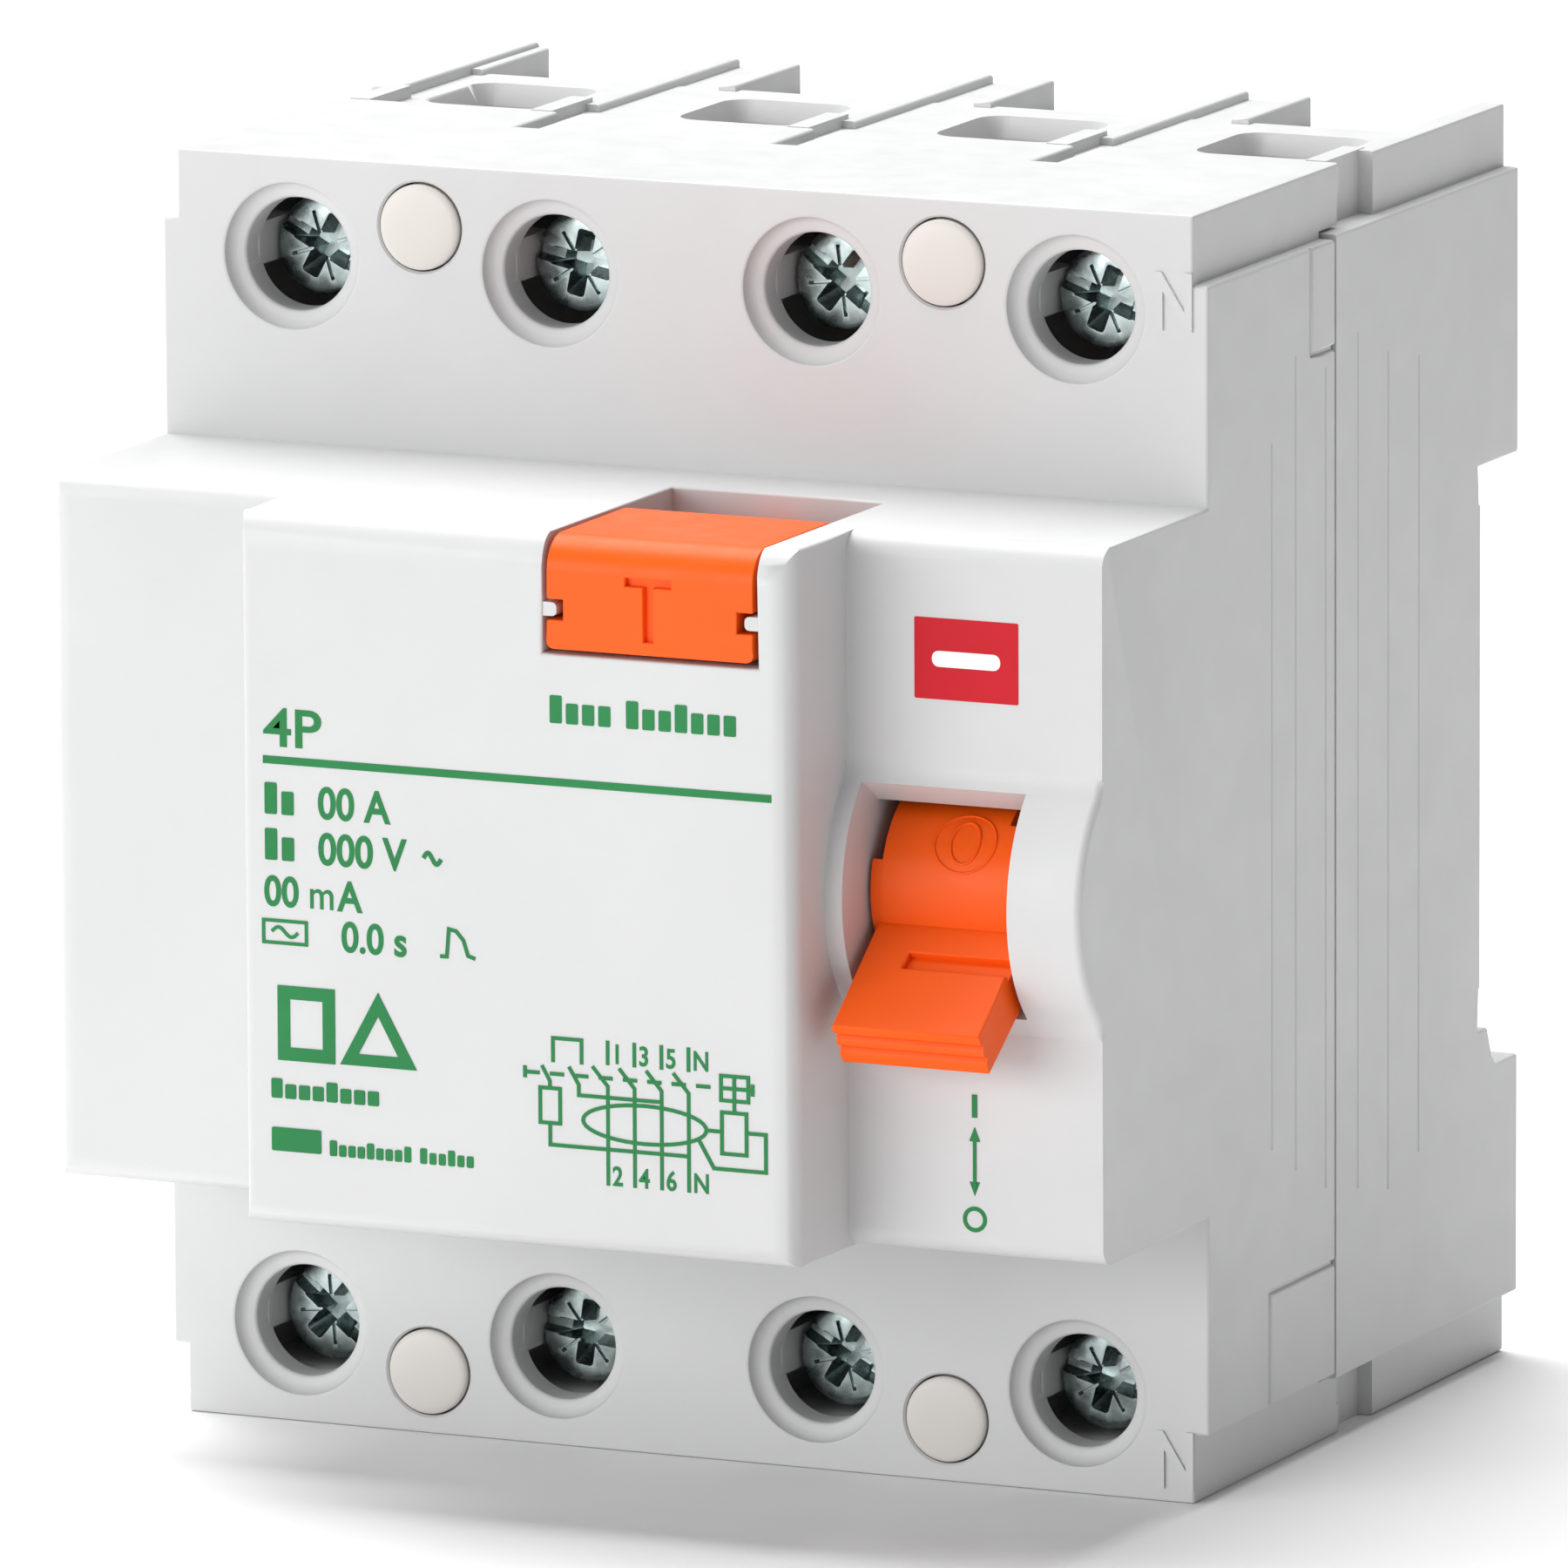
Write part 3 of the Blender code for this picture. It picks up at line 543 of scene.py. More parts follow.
def front_cavities():
    """The room behind the cap, which leaves walls around the test well and the toggle."""
    inner = WIDE_X - WALL
    low = -CAVITY_Z
    under_well = WELL_Z - 1.2
    beside, past = WELL_X[0] - 1.2, WELL_X[1] + 1.2
    cap_y = (CAP_Y + WALL, WELL_Y + 1.3)
    panel_y = (PANEL_Y + WALL, CAP_Y + WALL + 0.1)
    chamber = BULGE_R + 0.1
    return [
        box("back_room", (-inner, inner), (WELL_Y + 1.2, SEAM_Y + 1), (low, CAVITY_Z)),
        box("room_left", (-inner, beside), cap_y, (low, CAVITY_Z)),
        box("room_middle", (beside - 0.1, past), cap_y, (low, under_well)),
        box("room_low", (past - 0.1, inner), cap_y, (low, -chamber + 0.1)),
        box("room_high", (past - 0.1, inner), cap_y, (chamber - 0.1, CAVITY_Z)),
        box("toggle_room", OPENING_X, cap_y, (-chamber, chamber)),
        box("panel_room_left", (PANEL_X[0] + WALL, beside), panel_y, (low, CAVITY_Z)),
        box("panel_room", (beside - 0.1, PANEL_X[1] - WALL), panel_y, (low, under_well)),
    ]


TOGGLE_MOUTH = ((-66.0, 7.3), (-61.4, 7.3), (-58.4, 5.45), (-58.4, -5.6), (-61.4, -7.45), (-66.0, -7.45))

# From in front of the shoulder into a screw hole, as (depth, radius)
SCREW_DISH = ((-1, 4.85), (0, 4.85), (0.1, 4.7), (0.42, 4.62), (0.7, 4.42), (0.85, 4.1), (0.93, 3.8))
SCREW_BORE = ((1.02, 3.66), (1.2, 3.6), (4.0, 3.6))


def front_openings():
    cuts = [
        box("well", WELL_X, (PANEL_Y - 2, WELL_Y), (WELL_Z, CAP_Z + 2)),
        box("stem_hole", (7.2, 11.2), (WELL_Y - 1, WELL_Y + 2), (16.8, 20.8)),
        extruded("mouth", TOGGLE_MOUTH, *OPENING_X),
        rod("pin_hole", (17, TOGGLE_Y, 0), (33.8, TOGGLE_Y, 0), PIN_HOLE_R, PLAIN),
    ]
    for side in SIDES.values():
        for centre in POLES:
            z = side * SCREW_Z
            dish = [(SHOULDER_Y + depth, radius) for depth, radius in SCREW_DISH + SCREW_BORE]
            pocket_y = (SHOULDER_Y + 3, SEAM_Y + 1)
            cuts.append(turned("hole", centre, z, dish))
            cuts.append(box("pocket", span(centre, POCKET_HALF_X), pocket_y, flip(POCKET_Z, side)))
        for centre in PLUG_X:
            z = side * PLUG_Z
            seat = [(-1, PLUG_R + 0.2), (0, PLUG_R + 0.2), (0.15, PLUG_R + 0.06), (3.8, PLUG_R + 0.06)]
            cuts.append(turned("seat", centre, z, [(SHOULDER_Y + d, r) for d, r in seat]))
            ends = ((centre, SHOULDER_Y + 3, z), (centre, SEAM_Y + 1, z))
            cuts.append(rod("rivet_hole", *ends, RIVET_HOLE_R, PLAIN))
        for centre in RIB_X:
            notch_x = (centre - 1.14, centre + 0.45)
            over = HALF_H + 1
            cuts.append(box("notch", notch_x, (-27.5, LIP_Y + 1), flip((HALF_H - 1.6, over), side)))
            end_y = (SEAM_Y + 0.2, LIP_Y + 1)
            cuts.append(box("notch_end", notch_x, end_y, flip((FLOOR_Z, over), side)))
    return cuts


def front_details():
    """Screw guides and the nibs in the test button's notches."""
    pieces = []
    for side in SIDES.values():
        for centre in POLES:
            guide_x = (centre - POCKET_HALF_X - 0.2, centre - HEAD_R - 0.2)
            guide_z = span(side * SCREW_Z + 0.2, 1.35)
            pieces.append(box("guide", guide_x, (SHOULDER_Y + 2.6, -36.5), guide_z))
    nib_rounds = {"+x-z": 0.3, "+x+z": 0.3}
    left = (WELL_X[0] - 0.3, BUTTON_X[0] + 0.62)
    right = (BUTTON_X[1] - 0.62, WELL_X[1] + 0.3)
    nib_z = (17.42, 18.28)
    nib_y = (PANEL_Y + 0.15, PANEL_Y + 2.4)
    pieces.append(box("nib", left, nib_y, nib_z, nib_rounds, 4))
    pieces.append(box("nib", right, nib_y, nib_z, {"-x-z": 0.3, "-x+z": 0.3}, 4))
    return pieces


SIDE_LINES = ((-34.0, 25.0, -20.0), (-30.2, 30.0, -22.0), (-25.4, 28.5, -24.0))
BASE_LINES = ((-20.2, 30.0, -25.0), (-15.3, 28.0, -26.0), (-10.3, 27.0, -24.5))


def side_groove(hand, line):
    """A fine V-shaped mould line down a side of the case."""
    y, top, low = line
    face = hand * WIDE_X
    outline = [(face + hand * 0.2, y - 0.32), (face - hand * 0.14, y), (face + hand * 0.2, y + 0.32)]
    return extruded("side_line", outline, low, top, axis=2)


def front_grooves():
    cuts = [side_groove(hand, line) for hand in (-1, 1) for line in SIDE_LINES]
    for hand in (-1, 1):
        x = flip((WIDE_X - 0.25, WIDE_X + 1), hand)
        cuts.append(box("tab_line", x, (-34.4, -34.15), (-WIDE_Z - 1, -29.0)))
        cuts.append(box("tab_top", x, (-34.4, SEAM_Y + 1), (-29.2, -28.95)))
        cuts.append(box("tab_line", x, (-27.8, -27.55), (29.6, WIDE_Z + 1)))
        cuts.append(box("tab_top", x, (-27.8, SEAM_Y + 1), (29.45, 29.7)))
    return cuts


# ---------------------------------------------------------------- back half of the case


RAIL_SLOT = (
    (0.0, SEAT_HALF_Z),
    (-0.4, SEAT_HALF_Z),
    (-0.4, SLOT_TOP_Z),
    (BACK_Y + 1, SLOT_TOP_Z),
    (BACK_Y + 1, -21.1),
    (2.6, -21.1),
    (2.0, -20.5),
    (1.2, SLOT_LOW_Z),
    (-0.4, SLOT_LOW_Z),
    (-0.4, -SEAT_HALF_Z),
    (0.0, -SEAT_HALF_Z),
)


def base_shell():
    seam = BASE[1][0]
    base = box("base_shell", (-WIDE_X, WIDE_X), (seam, BACK_Y), (-BASE_WIDE_Z, BASE_WIDE_Z))
    solids = [box("floor", (-INSET_X, INSET_X), (seam, BACK_Y - 0.001), (-FLOOR_Z, FLOOR_Z))]
    for side in SIDES.values():
        solids += terminal_blocks(side)
    add(base, solids)
    cut(base, base_cuts(seam))
    hooks = []
    for x in ((-30.0, -10.0), (10.0, 30.0)):
        hooks.append(box("hook", x, (1.5, 3.8), (15.9, SLOT_TOP_Z + 1), {"-y-z": 0.5, "+y-z": 0.7}, 3))
    add(base, hooks)
    cut(base, [side_groove(hand, line) for hand in (-1, 1) for line in BASE_LINES])
    soften(base, 0.2, skip=block_edge)
    return dress(base, CASE_GREY, "case_grey", "case", "base_housing")


def terminal_blocks(side):
    """The raised blocks, ribs and walls on the top or the bottom of the base."""
    low = FLOOR_Z - 1
    front_y = (LIP_Y + 0.3, RIB_Y + 1)
    rear_y = (RIB_Y, BACK_Y - 0.002)
    front_z = flip((low, HALF_H), side)
    wall_z = flip((BASE_WIDE_Z - 2, HALF_H - 0.05), side)
    block_y = (front_y[0], BLOCK_BACK_Y)
    shelf_y = (BLOCK_BACK_Y - 1, rear_y[1])
    pieces = [box("block", (-INSET_X, INSET_X), block_y, flip((low, BLOCK_Z), side))]
    for hand in (-1, 1):
        pieces.append(box("side", flip((INSET_X - 1.4, INSET_X), hand), front_y, front_z))
        pieces.append(box("wall", flip((NARROW_X - 1.8, NARROW_X), hand), rear_y, wall_z))
    for edge in (-WIDE_X, *RIB_X):
        pieces.append(box("back_rib", (edge + 2.4, edge + 3.6), shelf_y, flip((low, 40.4), side)))
    for x in RIB_X:
        pieces.append(box("rib_front", (x - 3.2, x - 1.7), front_y, front_z))
        pieces.append(box("rib", (x - 2.2, x - 0.8), rear_y, flip((low, 40.5), side)))
        pieces.append(box("shelf", (x - 1.5, x + 3), shelf_y, flip((low, BLOCK_Z - 0.1), side)))
    return pieces


def base_cuts(seam):
    cuts = [
        box("cavity", (-INSET_X, INSET_X), (seam - 1, -WALL), (-CAVITY_Z, CAVITY_Z)),
        extruded("rail_slot", RAIL_SLOT, -WIDE_X - 1, WIDE_X + 1),
    ]
    for side in SIDES.values():
        for centre in POLES:
            pocket_y = (seam - 1, -5.0)
            tongue_z = flip((CAVITY_Z - 1, POCKET_Z[0] + 1), side)
            cuts.append(box("pocket", span(centre, POCKET_HALF_X), pocket_y, flip(POCKET_Z, side)))
            cuts.append(wire_entry(centre, side))
            cuts.append(box("tongue_slot", span(centre, 4.4), (seam - 1, -15.5), tongue_z))
        for x in PLUG_X:
            z = side * PLUG_Z
            cuts.append(rod("rivet_hole", (x, seam - 1, z), (x, BACK_Y + 1, z), RIVET_HOLE_R, PLAIN))
            cuts.append(rod("rivet_sink", (x, BACK_Y - 2.5, z), (x, BACK_Y + 1, z), 1.5, PLAIN))
    latch_z = (-HALF_H - 1, SLOT_LOW_Z + 0.5)
    for x in LATCH_X:
        cuts.append(box("latch_room", span(x, 6.0), (1.2, 4.9), latch_z))
        cuts.append(box("latch_slit", span(x, 4.2), (4.8, BACK_Y + 1), latch_z))
    return cuts


def wire_entry(centre, side):
    """A funnel with round corners that leads a wire into the clamp."""
    narrow = rounded_rectangle(span(centre, ENTRY_HALF_X - 0.6), (ENTRY_Y[0] + 0.5, ENTRY_Y[1] - 0.8), 1.0)
    wide = rounded_rectangle(span(centre, ENTRY_HALF_X), ENTRY_Y, 1.7)
    levels = ((BLOCK_Z + 1.5, wide), (BLOCK_Z, wide), (BLOCK_Z - 1.3, narrow), (POCKET_Z[1] - 1, narrow))
    bm = bmesh.new()
    rings = []
    for z, outline in levels:
        rings.append([bm.verts.new(Vector((x, y, side * z)) * MM) for x, y in outline])
    count = len(wide)
    for upper, lower in zip(rings, rings[1:]):
        for here in range(count):
            after = (here + 1) % count
            bm.faces.new((upper[here], upper[after], lower[after], lower[here]))
    bm.faces.new(rings[0])
    bm.faces.new(rings[-1])
    return finish("entry", mesh_of("entry", bm))


# ---------------------------------------------------------------- small parts of the case


def plug(word, hand, x, side):
    """A slightly domed plug, pressed into its seat."""
    z = side * PLUG_Z
    rise = [(0.0, 2.74), (-0.16, 2.72), (-0.27, 2.6), (-0.33, 2.3), (-0.38, 1.6), (-0.4, 0.8), (-0.41, 0.02)]
    profile = [(SHOULDER_Y + 1.7, 2.7)] + [(SHOULDER_Y + depth + 0.12, radius) for depth, radius in rise]
    made = smooth(turned(f"plug_{word}_{hand}", x, z, profile, 48), 50)
    return dress(made, PLUG_WHITE, "plug_white", "case", f"plug_cap_{word}_{hand}")


def screw(word, number, side, centre, turn):
    """A plated clamp screw with a cross recess, a slot and a worn rim."""
    z = side * SCREW_Z
    head = [
        (HEAD_Y, 0.05), (HEAD_Y, 2.75), (HEAD_Y + 0.08, 3.05), (HEAD_Y + 0.3, 3.22), (HEAD_Y + 0.5, HEAD_R),
        (HEAD_Y + 2.8, HEAD_R), (HEAD_Y + 3.0, 3.1), (HEAD_Y + 3.0, 2.5),
    ]
    shank = []
    pitch = 0.8
    for turn_number in range(22):
        root = HEAD_Y + 3.4 + pitch * turn_number
        shank += [(root, 2.15), (root + pitch * 0.45, 2.5)]
    made = turned(f"screw_{word}_{number}", centre, z, head + shank + [(SCREW[1][1], 2.0)], 48)
    cutters = recess(HEAD_Y)
    spin = Matrix.Rotation(math.radians(turn), 4, "Y")
    place = Matrix.Translation(Vector((centre, 0, z)) * MM)
    for cutter in cutters:
        cutter.data.transform(place @ spin)
    cut(made, cutters)
    made.data.set_sharp_from_angle(angle=math.radians(28))
    body = f"terminal_screw_{word}_{number}"
    return dress(made, ZINC, "zinc_screw", body, body)


def recess(face):
    """Cutters, about the Y axis, of a combined slot and cross recess with four fine ticks."""
    def wing(name, half, width, depth, shrink):
        outer = rounded_rectangle((-half, half), (-width, width), width * 0.35, 2)
        deep_half, deep_width = half * shrink, width * 0.6
        inner = rounded_rectangle((-deep_half, deep_half), (-deep_width, deep_width), width * 0.2, 2)
        return extruded(name, outer, face - 0.01, face + depth, axis=1, top=inner)

    cutters = [wing("slot", 3.6, 0.52, 1.1, 1.0), wing("cross", 2.15, 0.62, 1.9, 0.55)]
    upright = wing("cross", 2.15, 0.62, 1.9, 0.55)
    upright.data.transform(Matrix.Rotation(math.pi / 2, 4, "Y"))
    cutters.append(upright)
    for turn in (45, 135):
        tick = wing("tick", 2.3, 0.13, 0.3, 0.9)
        tick.data.transform(Matrix.Rotation(math.radians(turn), 4, "Y"))
        cutters.append(tick)
    return cutters


SCREW_TURNS = {"upper": (28, 12, 38, 20), "lower": (40, 8, 30, 15)}


def fittings():
    for word, side in SIDES.items():
        for number, centre in enumerate(POLES, 1):
            screw(word, number, side, centre, SCREW_TURNS[word][number - 1])
        for hand, x in zip(("left", "right"), PLUG_X):
            plug(word, hand, x, side)


# ---------------------------------------------------------------- toggle and button


def lever_outline():
    """Side view of the lever, with two fine grooves across its tip."""
    tip, foot = Vector(LEVER_TIP), Vector((-65.45, -9.8))
    along = (foot - tip).normalized()
    inward = Vector((-along.y, along.x))
    if inward.x < 0:
        inward = -inward
    points = [(-57.2, 0.2), LEVER_ROOT, tuple(tip)]
    for place in (1.0, 2.0):
        for offset, depth in ((-0.28, 0.0), (0.0, 0.42), (0.28, 0.0)):
            points.append(tuple(tip + along * (place + offset) + inward * depth))
    return points + [tuple(foot), (-56.57, -3.8), (-54.2, -3.6), (-54.2, 0.2)]


def toggle():
    ends = [(end, TOGGLE_Y, 0) for end in (21.0, 30.8)]
    made = rod("toggle_lever", *ends, DRUM_R, 96)
    relief = [(TOGGLE_Y, HUB_R), (TOGGLE_Y + 2, HUB_R), (TOGGLE_Y + 2, 8)]
    relief += [(TOGGLE_Y + y, z) for y, z in arc((0, 0), 8, 90, RELIEF_TURN, 4)]
    end = math.radians(RELIEF_TURN)
    relief.append((TOGGLE_Y + HUB_R * math.cos(end), HUB_R * math.sin(end)))
    cuts = [
        box("back_cut", (20, 32), (TOGGLE_Y + 1.2, TOGGLE_Y + 8), (-7, 7)),
        extruded("relief", relief, *LINK_X),
    ]
    cut(made, cuts)
    crank_turn = math.radians(35)
    along = Vector((math.cos(crank_turn), math.sin(crank_turn)))
    across = Vector((-along.y, along.x))
    crank = []
    for far, width in ((0, -2), (6.2, -2), (6.2, 2), (0, 2)):
        crank.append(tuple(Vector((TOGGLE_Y, 0)) + along * far + across * width))
    flange = arc((TOGGLE_Y, 0), DRUM_R - 0.05, 160, 245, 16) + arc((TOGGLE_Y, 0), 3.0, 245, 160, 6)
    parts = [
        extruded("lever", lever_outline(), 20.7, 30.6),
        rod("hub", *ends, HUB_R, PLAIN),
        extruded("crank", crank, 26.5, 28.7),
        extruded("flange", flange, 20.3, 21.4),
    ]
    add(made, parts)
    tip = Vector((TOGGLE_Y, 0)) + along * 5.0
    root = Vector(LEVER_ROOT)
    slot_way = (Vector(LEVER_TIP) - root).normalized()
    slot_in = Vector((-slot_way.y, slot_way.x))
    if slot_in.y > 0:
        slot_in = -slot_in
    slot = []
    for far, depth in ((3.95, -1), (3.95, 0.55), (5.3, 0.55), (5.3, -1)):
        slot.append(tuple(root + slot_way * far + slot_in * depth))
    cut(made, [
        rod("pin_bore", (19, TOGGLE_Y, 0), (33, TOGGLE_Y, 0), PIN_HOLE_R, PLAIN),
        rod("link_bore", (26, tip.x, tip.y), (29, tip.x, tip.y), 1.1, PLAIN),
        extruded("on_slot", slot, 23.6, 31),
    ])
    soften(made, 0.14, shortest=1.0, turn=40)
    dress(made, ORANGE, "signal_orange", "toggle", "toggle_handle")
    for name, half_x, half_z, width in (("off_ring", 2.05, 1.95, 0.16), ("off_letter", 0.95, 1.4, 0.2)):
        mark = drum_ring(name, 26.3, 3.35, half_x, half_z, width)
        dress(mark, ORANGE, "signal_orange", "toggle")


def drum_ring(name, x, z, half_x, half_z, width):
    """An oval bead that lies on the drum's surface."""
    curve = bpy.data.curves.new(name, "CURVE")
    curve.dimensions = "3D"
    curve.bevel_depth = width / 2 * MM
    curve.bevel_resolution = 3
    spline = curve.splines.new("POLY")
    count = 48
    spline.points.add(count - 1)
    spline.use_cyclic_u = True
    middle = math.asin(z / DRUM_R)
    for step, point in enumerate(spline.points):
        angle = 2 * math.pi * step / count
        turn = middle + half_z * math.sin(angle) / DRUM_R
        reach = DRUM_R + 0.02
        place = (x + half_x * math.cos(angle), TOGGLE_Y - reach * math.cos(turn), reach * math.sin(turn))
        point.co = (*(Vector(place) * MM), 1)
    made = bpy.data.objects.new(name, curve)
    bpy.context.scene.collection.objects.link(made)
    made = apply(made)
    made.name = name
    made.data.shade_smooth()
    return made


def button():
    rounds = {"-y+z": 2.2, "-x-z": 0.5, "+x-z": 0.5}
    made = box("button_cap", BUTTON_X, (PANEL_Y, BUTTON_BACK_Y), BUTTON_Z, rounds, 10)
    middle = sum(BUTTON_X) / 2
    add(made, [box("stem", span(middle, 1.5), (BUTTON_BACK_Y - 1, -46.9), (17.3, 20.3))])
    notch_y = (PANEL_Y - 1, PANEL_Y + 3.6)
    letter_y = (PANEL_Y - 1, PANEL_Y + 0.45)
    cuts = []
    for x in BUTTON_X:
        cuts.append(box("notch", span(x, 1.1), notch_y, (17.2, 18.5)))
    cuts.append(box("letter_bar", span(middle - 0.1, 1.55), letter_y, (19.65, 20.2)))
    cuts.append(box("letter_stem", span(middle - 0.1, 0.33), letter_y, (16.2, 19.7)))
    cut(made, cuts)
    soften(made, 0.12, shortest=0.25)
    return dress(made, ORANGE, "signal_orange", "test_button", "test_button")


def latch(hand, x):
    """The black rail latch with a rounded pull, a driver slot and finger grooves."""
    wide = span(x, 5.7)
    made = box(f"latch_{hand}", wide, (1.5, 4.6), (-40.5, -18.4))
    nose = ((1.6, -19.0), (1.6, -15.9), (2.4, -15.9), (4.6, -18.3), (4.6, -19.0))
    pull_rounds = {"+y+z": 0.6, "-x+y": 0.5, "+x+y": 0.5}
    add(made, [
        extruded("nose", nose, *wide),
        box("pull", span(x, 3.9), (4.0, 6.0), (-40.5, -35.0), pull_rounds, 3),
    ])
    cuts = [box("driver_slot", span(x, 2.4), (3.1, 7.0), (-39.2, -37.4))]
    for step in range(5):
        cuts.append(box("grip", span(x, 4.6), (4.35, 5.0), span(-33.4 + 1.6 * step, 0.3)))
    cut(made, cuts)
    soften(made, 0.18, shortest=0.4)
    node = f"din_latch_{hand}"
    return dress(made, BLACK, "latch_black", node, node)


# ---------------------------------------------------------------- printing


PROUD = 0.03
SUNK = 0.05
STEP = 0.001  # each stroke stands this much prouder than the one before, so that none coincide
strokes = [0]


def height_of_stroke():
    strokes[0] = (strokes[0] + 1) % 40
    return PROUD + STEP * strokes[0]


def ribbon(name, points, width, face, closed=False):
    """A thin stroke of print on a face that looks along -Y, through (x, z) points."""
    count = len(points)
    levels = (face - height_of_stroke(), face + SUNK)
    bm = bmesh.new()
    rings = []
    for here, point in enumerate(points):
        before = points[(here - 1) % count] if closed or here else None
        after = points[(here + 1) % count] if closed or here < count - 1 else None
        ways = []
        if before is not None:
            ways.append((Vector(point) - Vector(before)).normalized())
        if after is not None:
            ways.append((Vector(after) - Vector(point)).normalized())
        normals = [Vector((-way.y, way.x)) for way in ways]
        normal = sum(normals, Vector((0, 0))).normalized()
        reach = width / 2 / max(0.5, normal.dot(normals[0]))
        ring = []
        for side in (1, -1):
            place = Vector(point) + normal * reach * side
            ring.append([bm.verts.new(Vector((place.x, y, place.y)) * MM) for y in levels])
        rings.append(ring)
    pairs = list(zip(rings, rings[1:]))
    if closed:
        pairs.append((rings[-1], rings[0]))
    for (a, b), (c, d) in pairs:
        for quad in ((a[0], b[0], d[0], c[0]), (a[1], c[1], d[1], b[1]), (a[0], c[0], c[1], a[1]),
                     (b[0], b[1], d[1], d[0])):
            bm.faces.new(quad)
    if not closed:
        for a, b in (rings[0], rings[-1]):
            bm.faces.new((a[0], a[1], b[1], b[0]))
    return finish(name, mesh_of(name, bm))


def patch(name, outline, face):
    """A filled area of print."""
    return extruded(name, outline, face - height_of_stroke(), face + SUNK, axis=1)


def bar(x, z):
    return patch("bar", rounded_rectangle(x, z, 0.1, 2), PANEL_Y)


def lettering(text, x, z, height, face, depth=PROUD, squeeze=0.9, bold=0.03):
    """Plain lettering with its lower left corner at (x, z)."""
    cap_share = 0.729  # height of a capital in the built-in font, as a share of its size
    curve = bpy.data.curves.new(text, "FONT")
    curve.body = text
    curve.size = height / cap_share * MM
    curve.extrude = (depth + SUNK) / 2 * MM
    curve.offset = bold * height * MM
    made = bpy.data.objects.new("lettering", curve)
    bpy.context.scene.collection.objects.link(made)
    made.rotation_euler = (math.pi / 2, 0, 0)
    made.scale = (squeeze, 1, 1)
    made.location = Vector((x, face - depth + (depth + SUNK) / 2, z)) * MM
    bpy.context.view_layer.update()
    made = apply(made)
    made.data.transform(made.matrix_world)
    made.matrix_world = Matrix.Identity(4)
    return made


def join(name, pieces):
    """One piece from many."""
    bm = bmesh.new()
    for piece in pieces:
        bm.from_mesh(piece.data)
        bpy.data.objects.remove(piece)
    mesh = bpy.data.meshes.new(name)
    bm.to_mesh(mesh)
    bm.free()
    return finish(name, mesh)


def words(x, z, height, counts, letter=0.55):
    """Small blocks that stand for the letters of words; counts holds the letters of each word."""
    made = []
    for word, count in enumerate(counts):
        for place in range(count):
            tall = place == 0 or (place * 5 + word) % 4 == 0
            top = z + height * (1.0 if tall else 0.74)
            made.append(bar((x, x + letter * height), (z, top)))
            x += (letter + 0.16) * height
        x += 0.45 * height
    return made


def ratings():
    """The rule, the generic ratings and the plain marks on the left of the panel."""
    pieces = [ribbon("rule", [(-17.3, 7.05), (17.4, 7.05)], 0.5, PANEL_Y)]
    pieces.append(lettering("4P", -17.25, 7.95, 2.5, PANEL_Y, squeeze=1.15, bold=0.018))
    pieces += words(2.4, 10.75, 1.75, (4, 7), 0.47)
    pieces += words(-17.2, 3.62, 2.0, (2,), 0.42)
    pieces.append(lettering("00 A", -13.55, 3.6, 2.05, PANEL_Y))
    pieces += words(-17.2, 0.72, 2.0, (2,), 0.42)
    pieces.append(lettering("000 V", -13.55, 0.7, 2.05, PANEL_Y))
    pieces.append(wave(-5.7, 1.6, 0.6, 0.35, 0.28))
    pieces.append(lettering("00", -17.3, -2.15, 1.95, PANEL_Y))
    pieces.append(lettering("m", -14.25, -2.15, 1.95, PANEL_Y, bold=0.008))
    pieces.append(lettering("A", -12.2, -2.15, 1.95, PANEL_Y))
    frame_outline = [(-17.35, -3.1), (-14.4, -3.1), (-14.4, -4.5), (-17.35, -4.5)]
    pieces.append(ribbon("frame", frame_outline, 0.22, PANEL_Y, closed=True))
    pieces.append(wave(-15.88, -3.8, 0.9, 0.3, 0.22))
    pieces.append(lettering("0.0 s", -12.0, -4.7, 1.95, PANEL_Y))
    rise = [(-5.2, -4.5), (-4.75, -4.5), (-4.6, -2.75)]
    pulse = rise + [(-4.1, -2.85), (-3.6, -3.4), (-3.3, -4.35), (-2.8, -4.5)]
    pieces.append(ribbon("pulse", pulse, 0.24, PANEL_Y))
    pieces += plain_marks()
    pieces += words(-16.9, -14.35, 1.25, (8,), 0.6)
    pieces.append(bar((-16.9, -13.5), (-17.7, -16.2)))
    pieces += words(-12.9, -17.75, 1.0, (9, 6), 0.48)
    made = join("panel_print", pieces)
    return dress(made, PRINT_GREEN, "case_grey", "case")


def wave(x, z, half_x, half_z, width):
    points = []
    for step in range(17):
        share = step / 8 - 1
        points.append((x + half_x * share, z - half_z * math.sin(math.pi * share)))
    return ribbon("wave", points, width, PANEL_Y)


def plain_marks():
    """Two bold geometric marks, a square and a triangle, in outline."""
    square = [(-16.0, -7.6), (-12.9, -7.6), (-12.9, -11.5), (-16.0, -11.5)]
    triangle = [(-9.5, -7.9), (-7.5, -11.5), (-11.5, -11.5)]
    return [
        ribbon("square", square, 0.85, PANEL_Y, closed=True),
        ribbon("triangle", triangle, 0.75, PANEL_Y, closed=True),
    ]


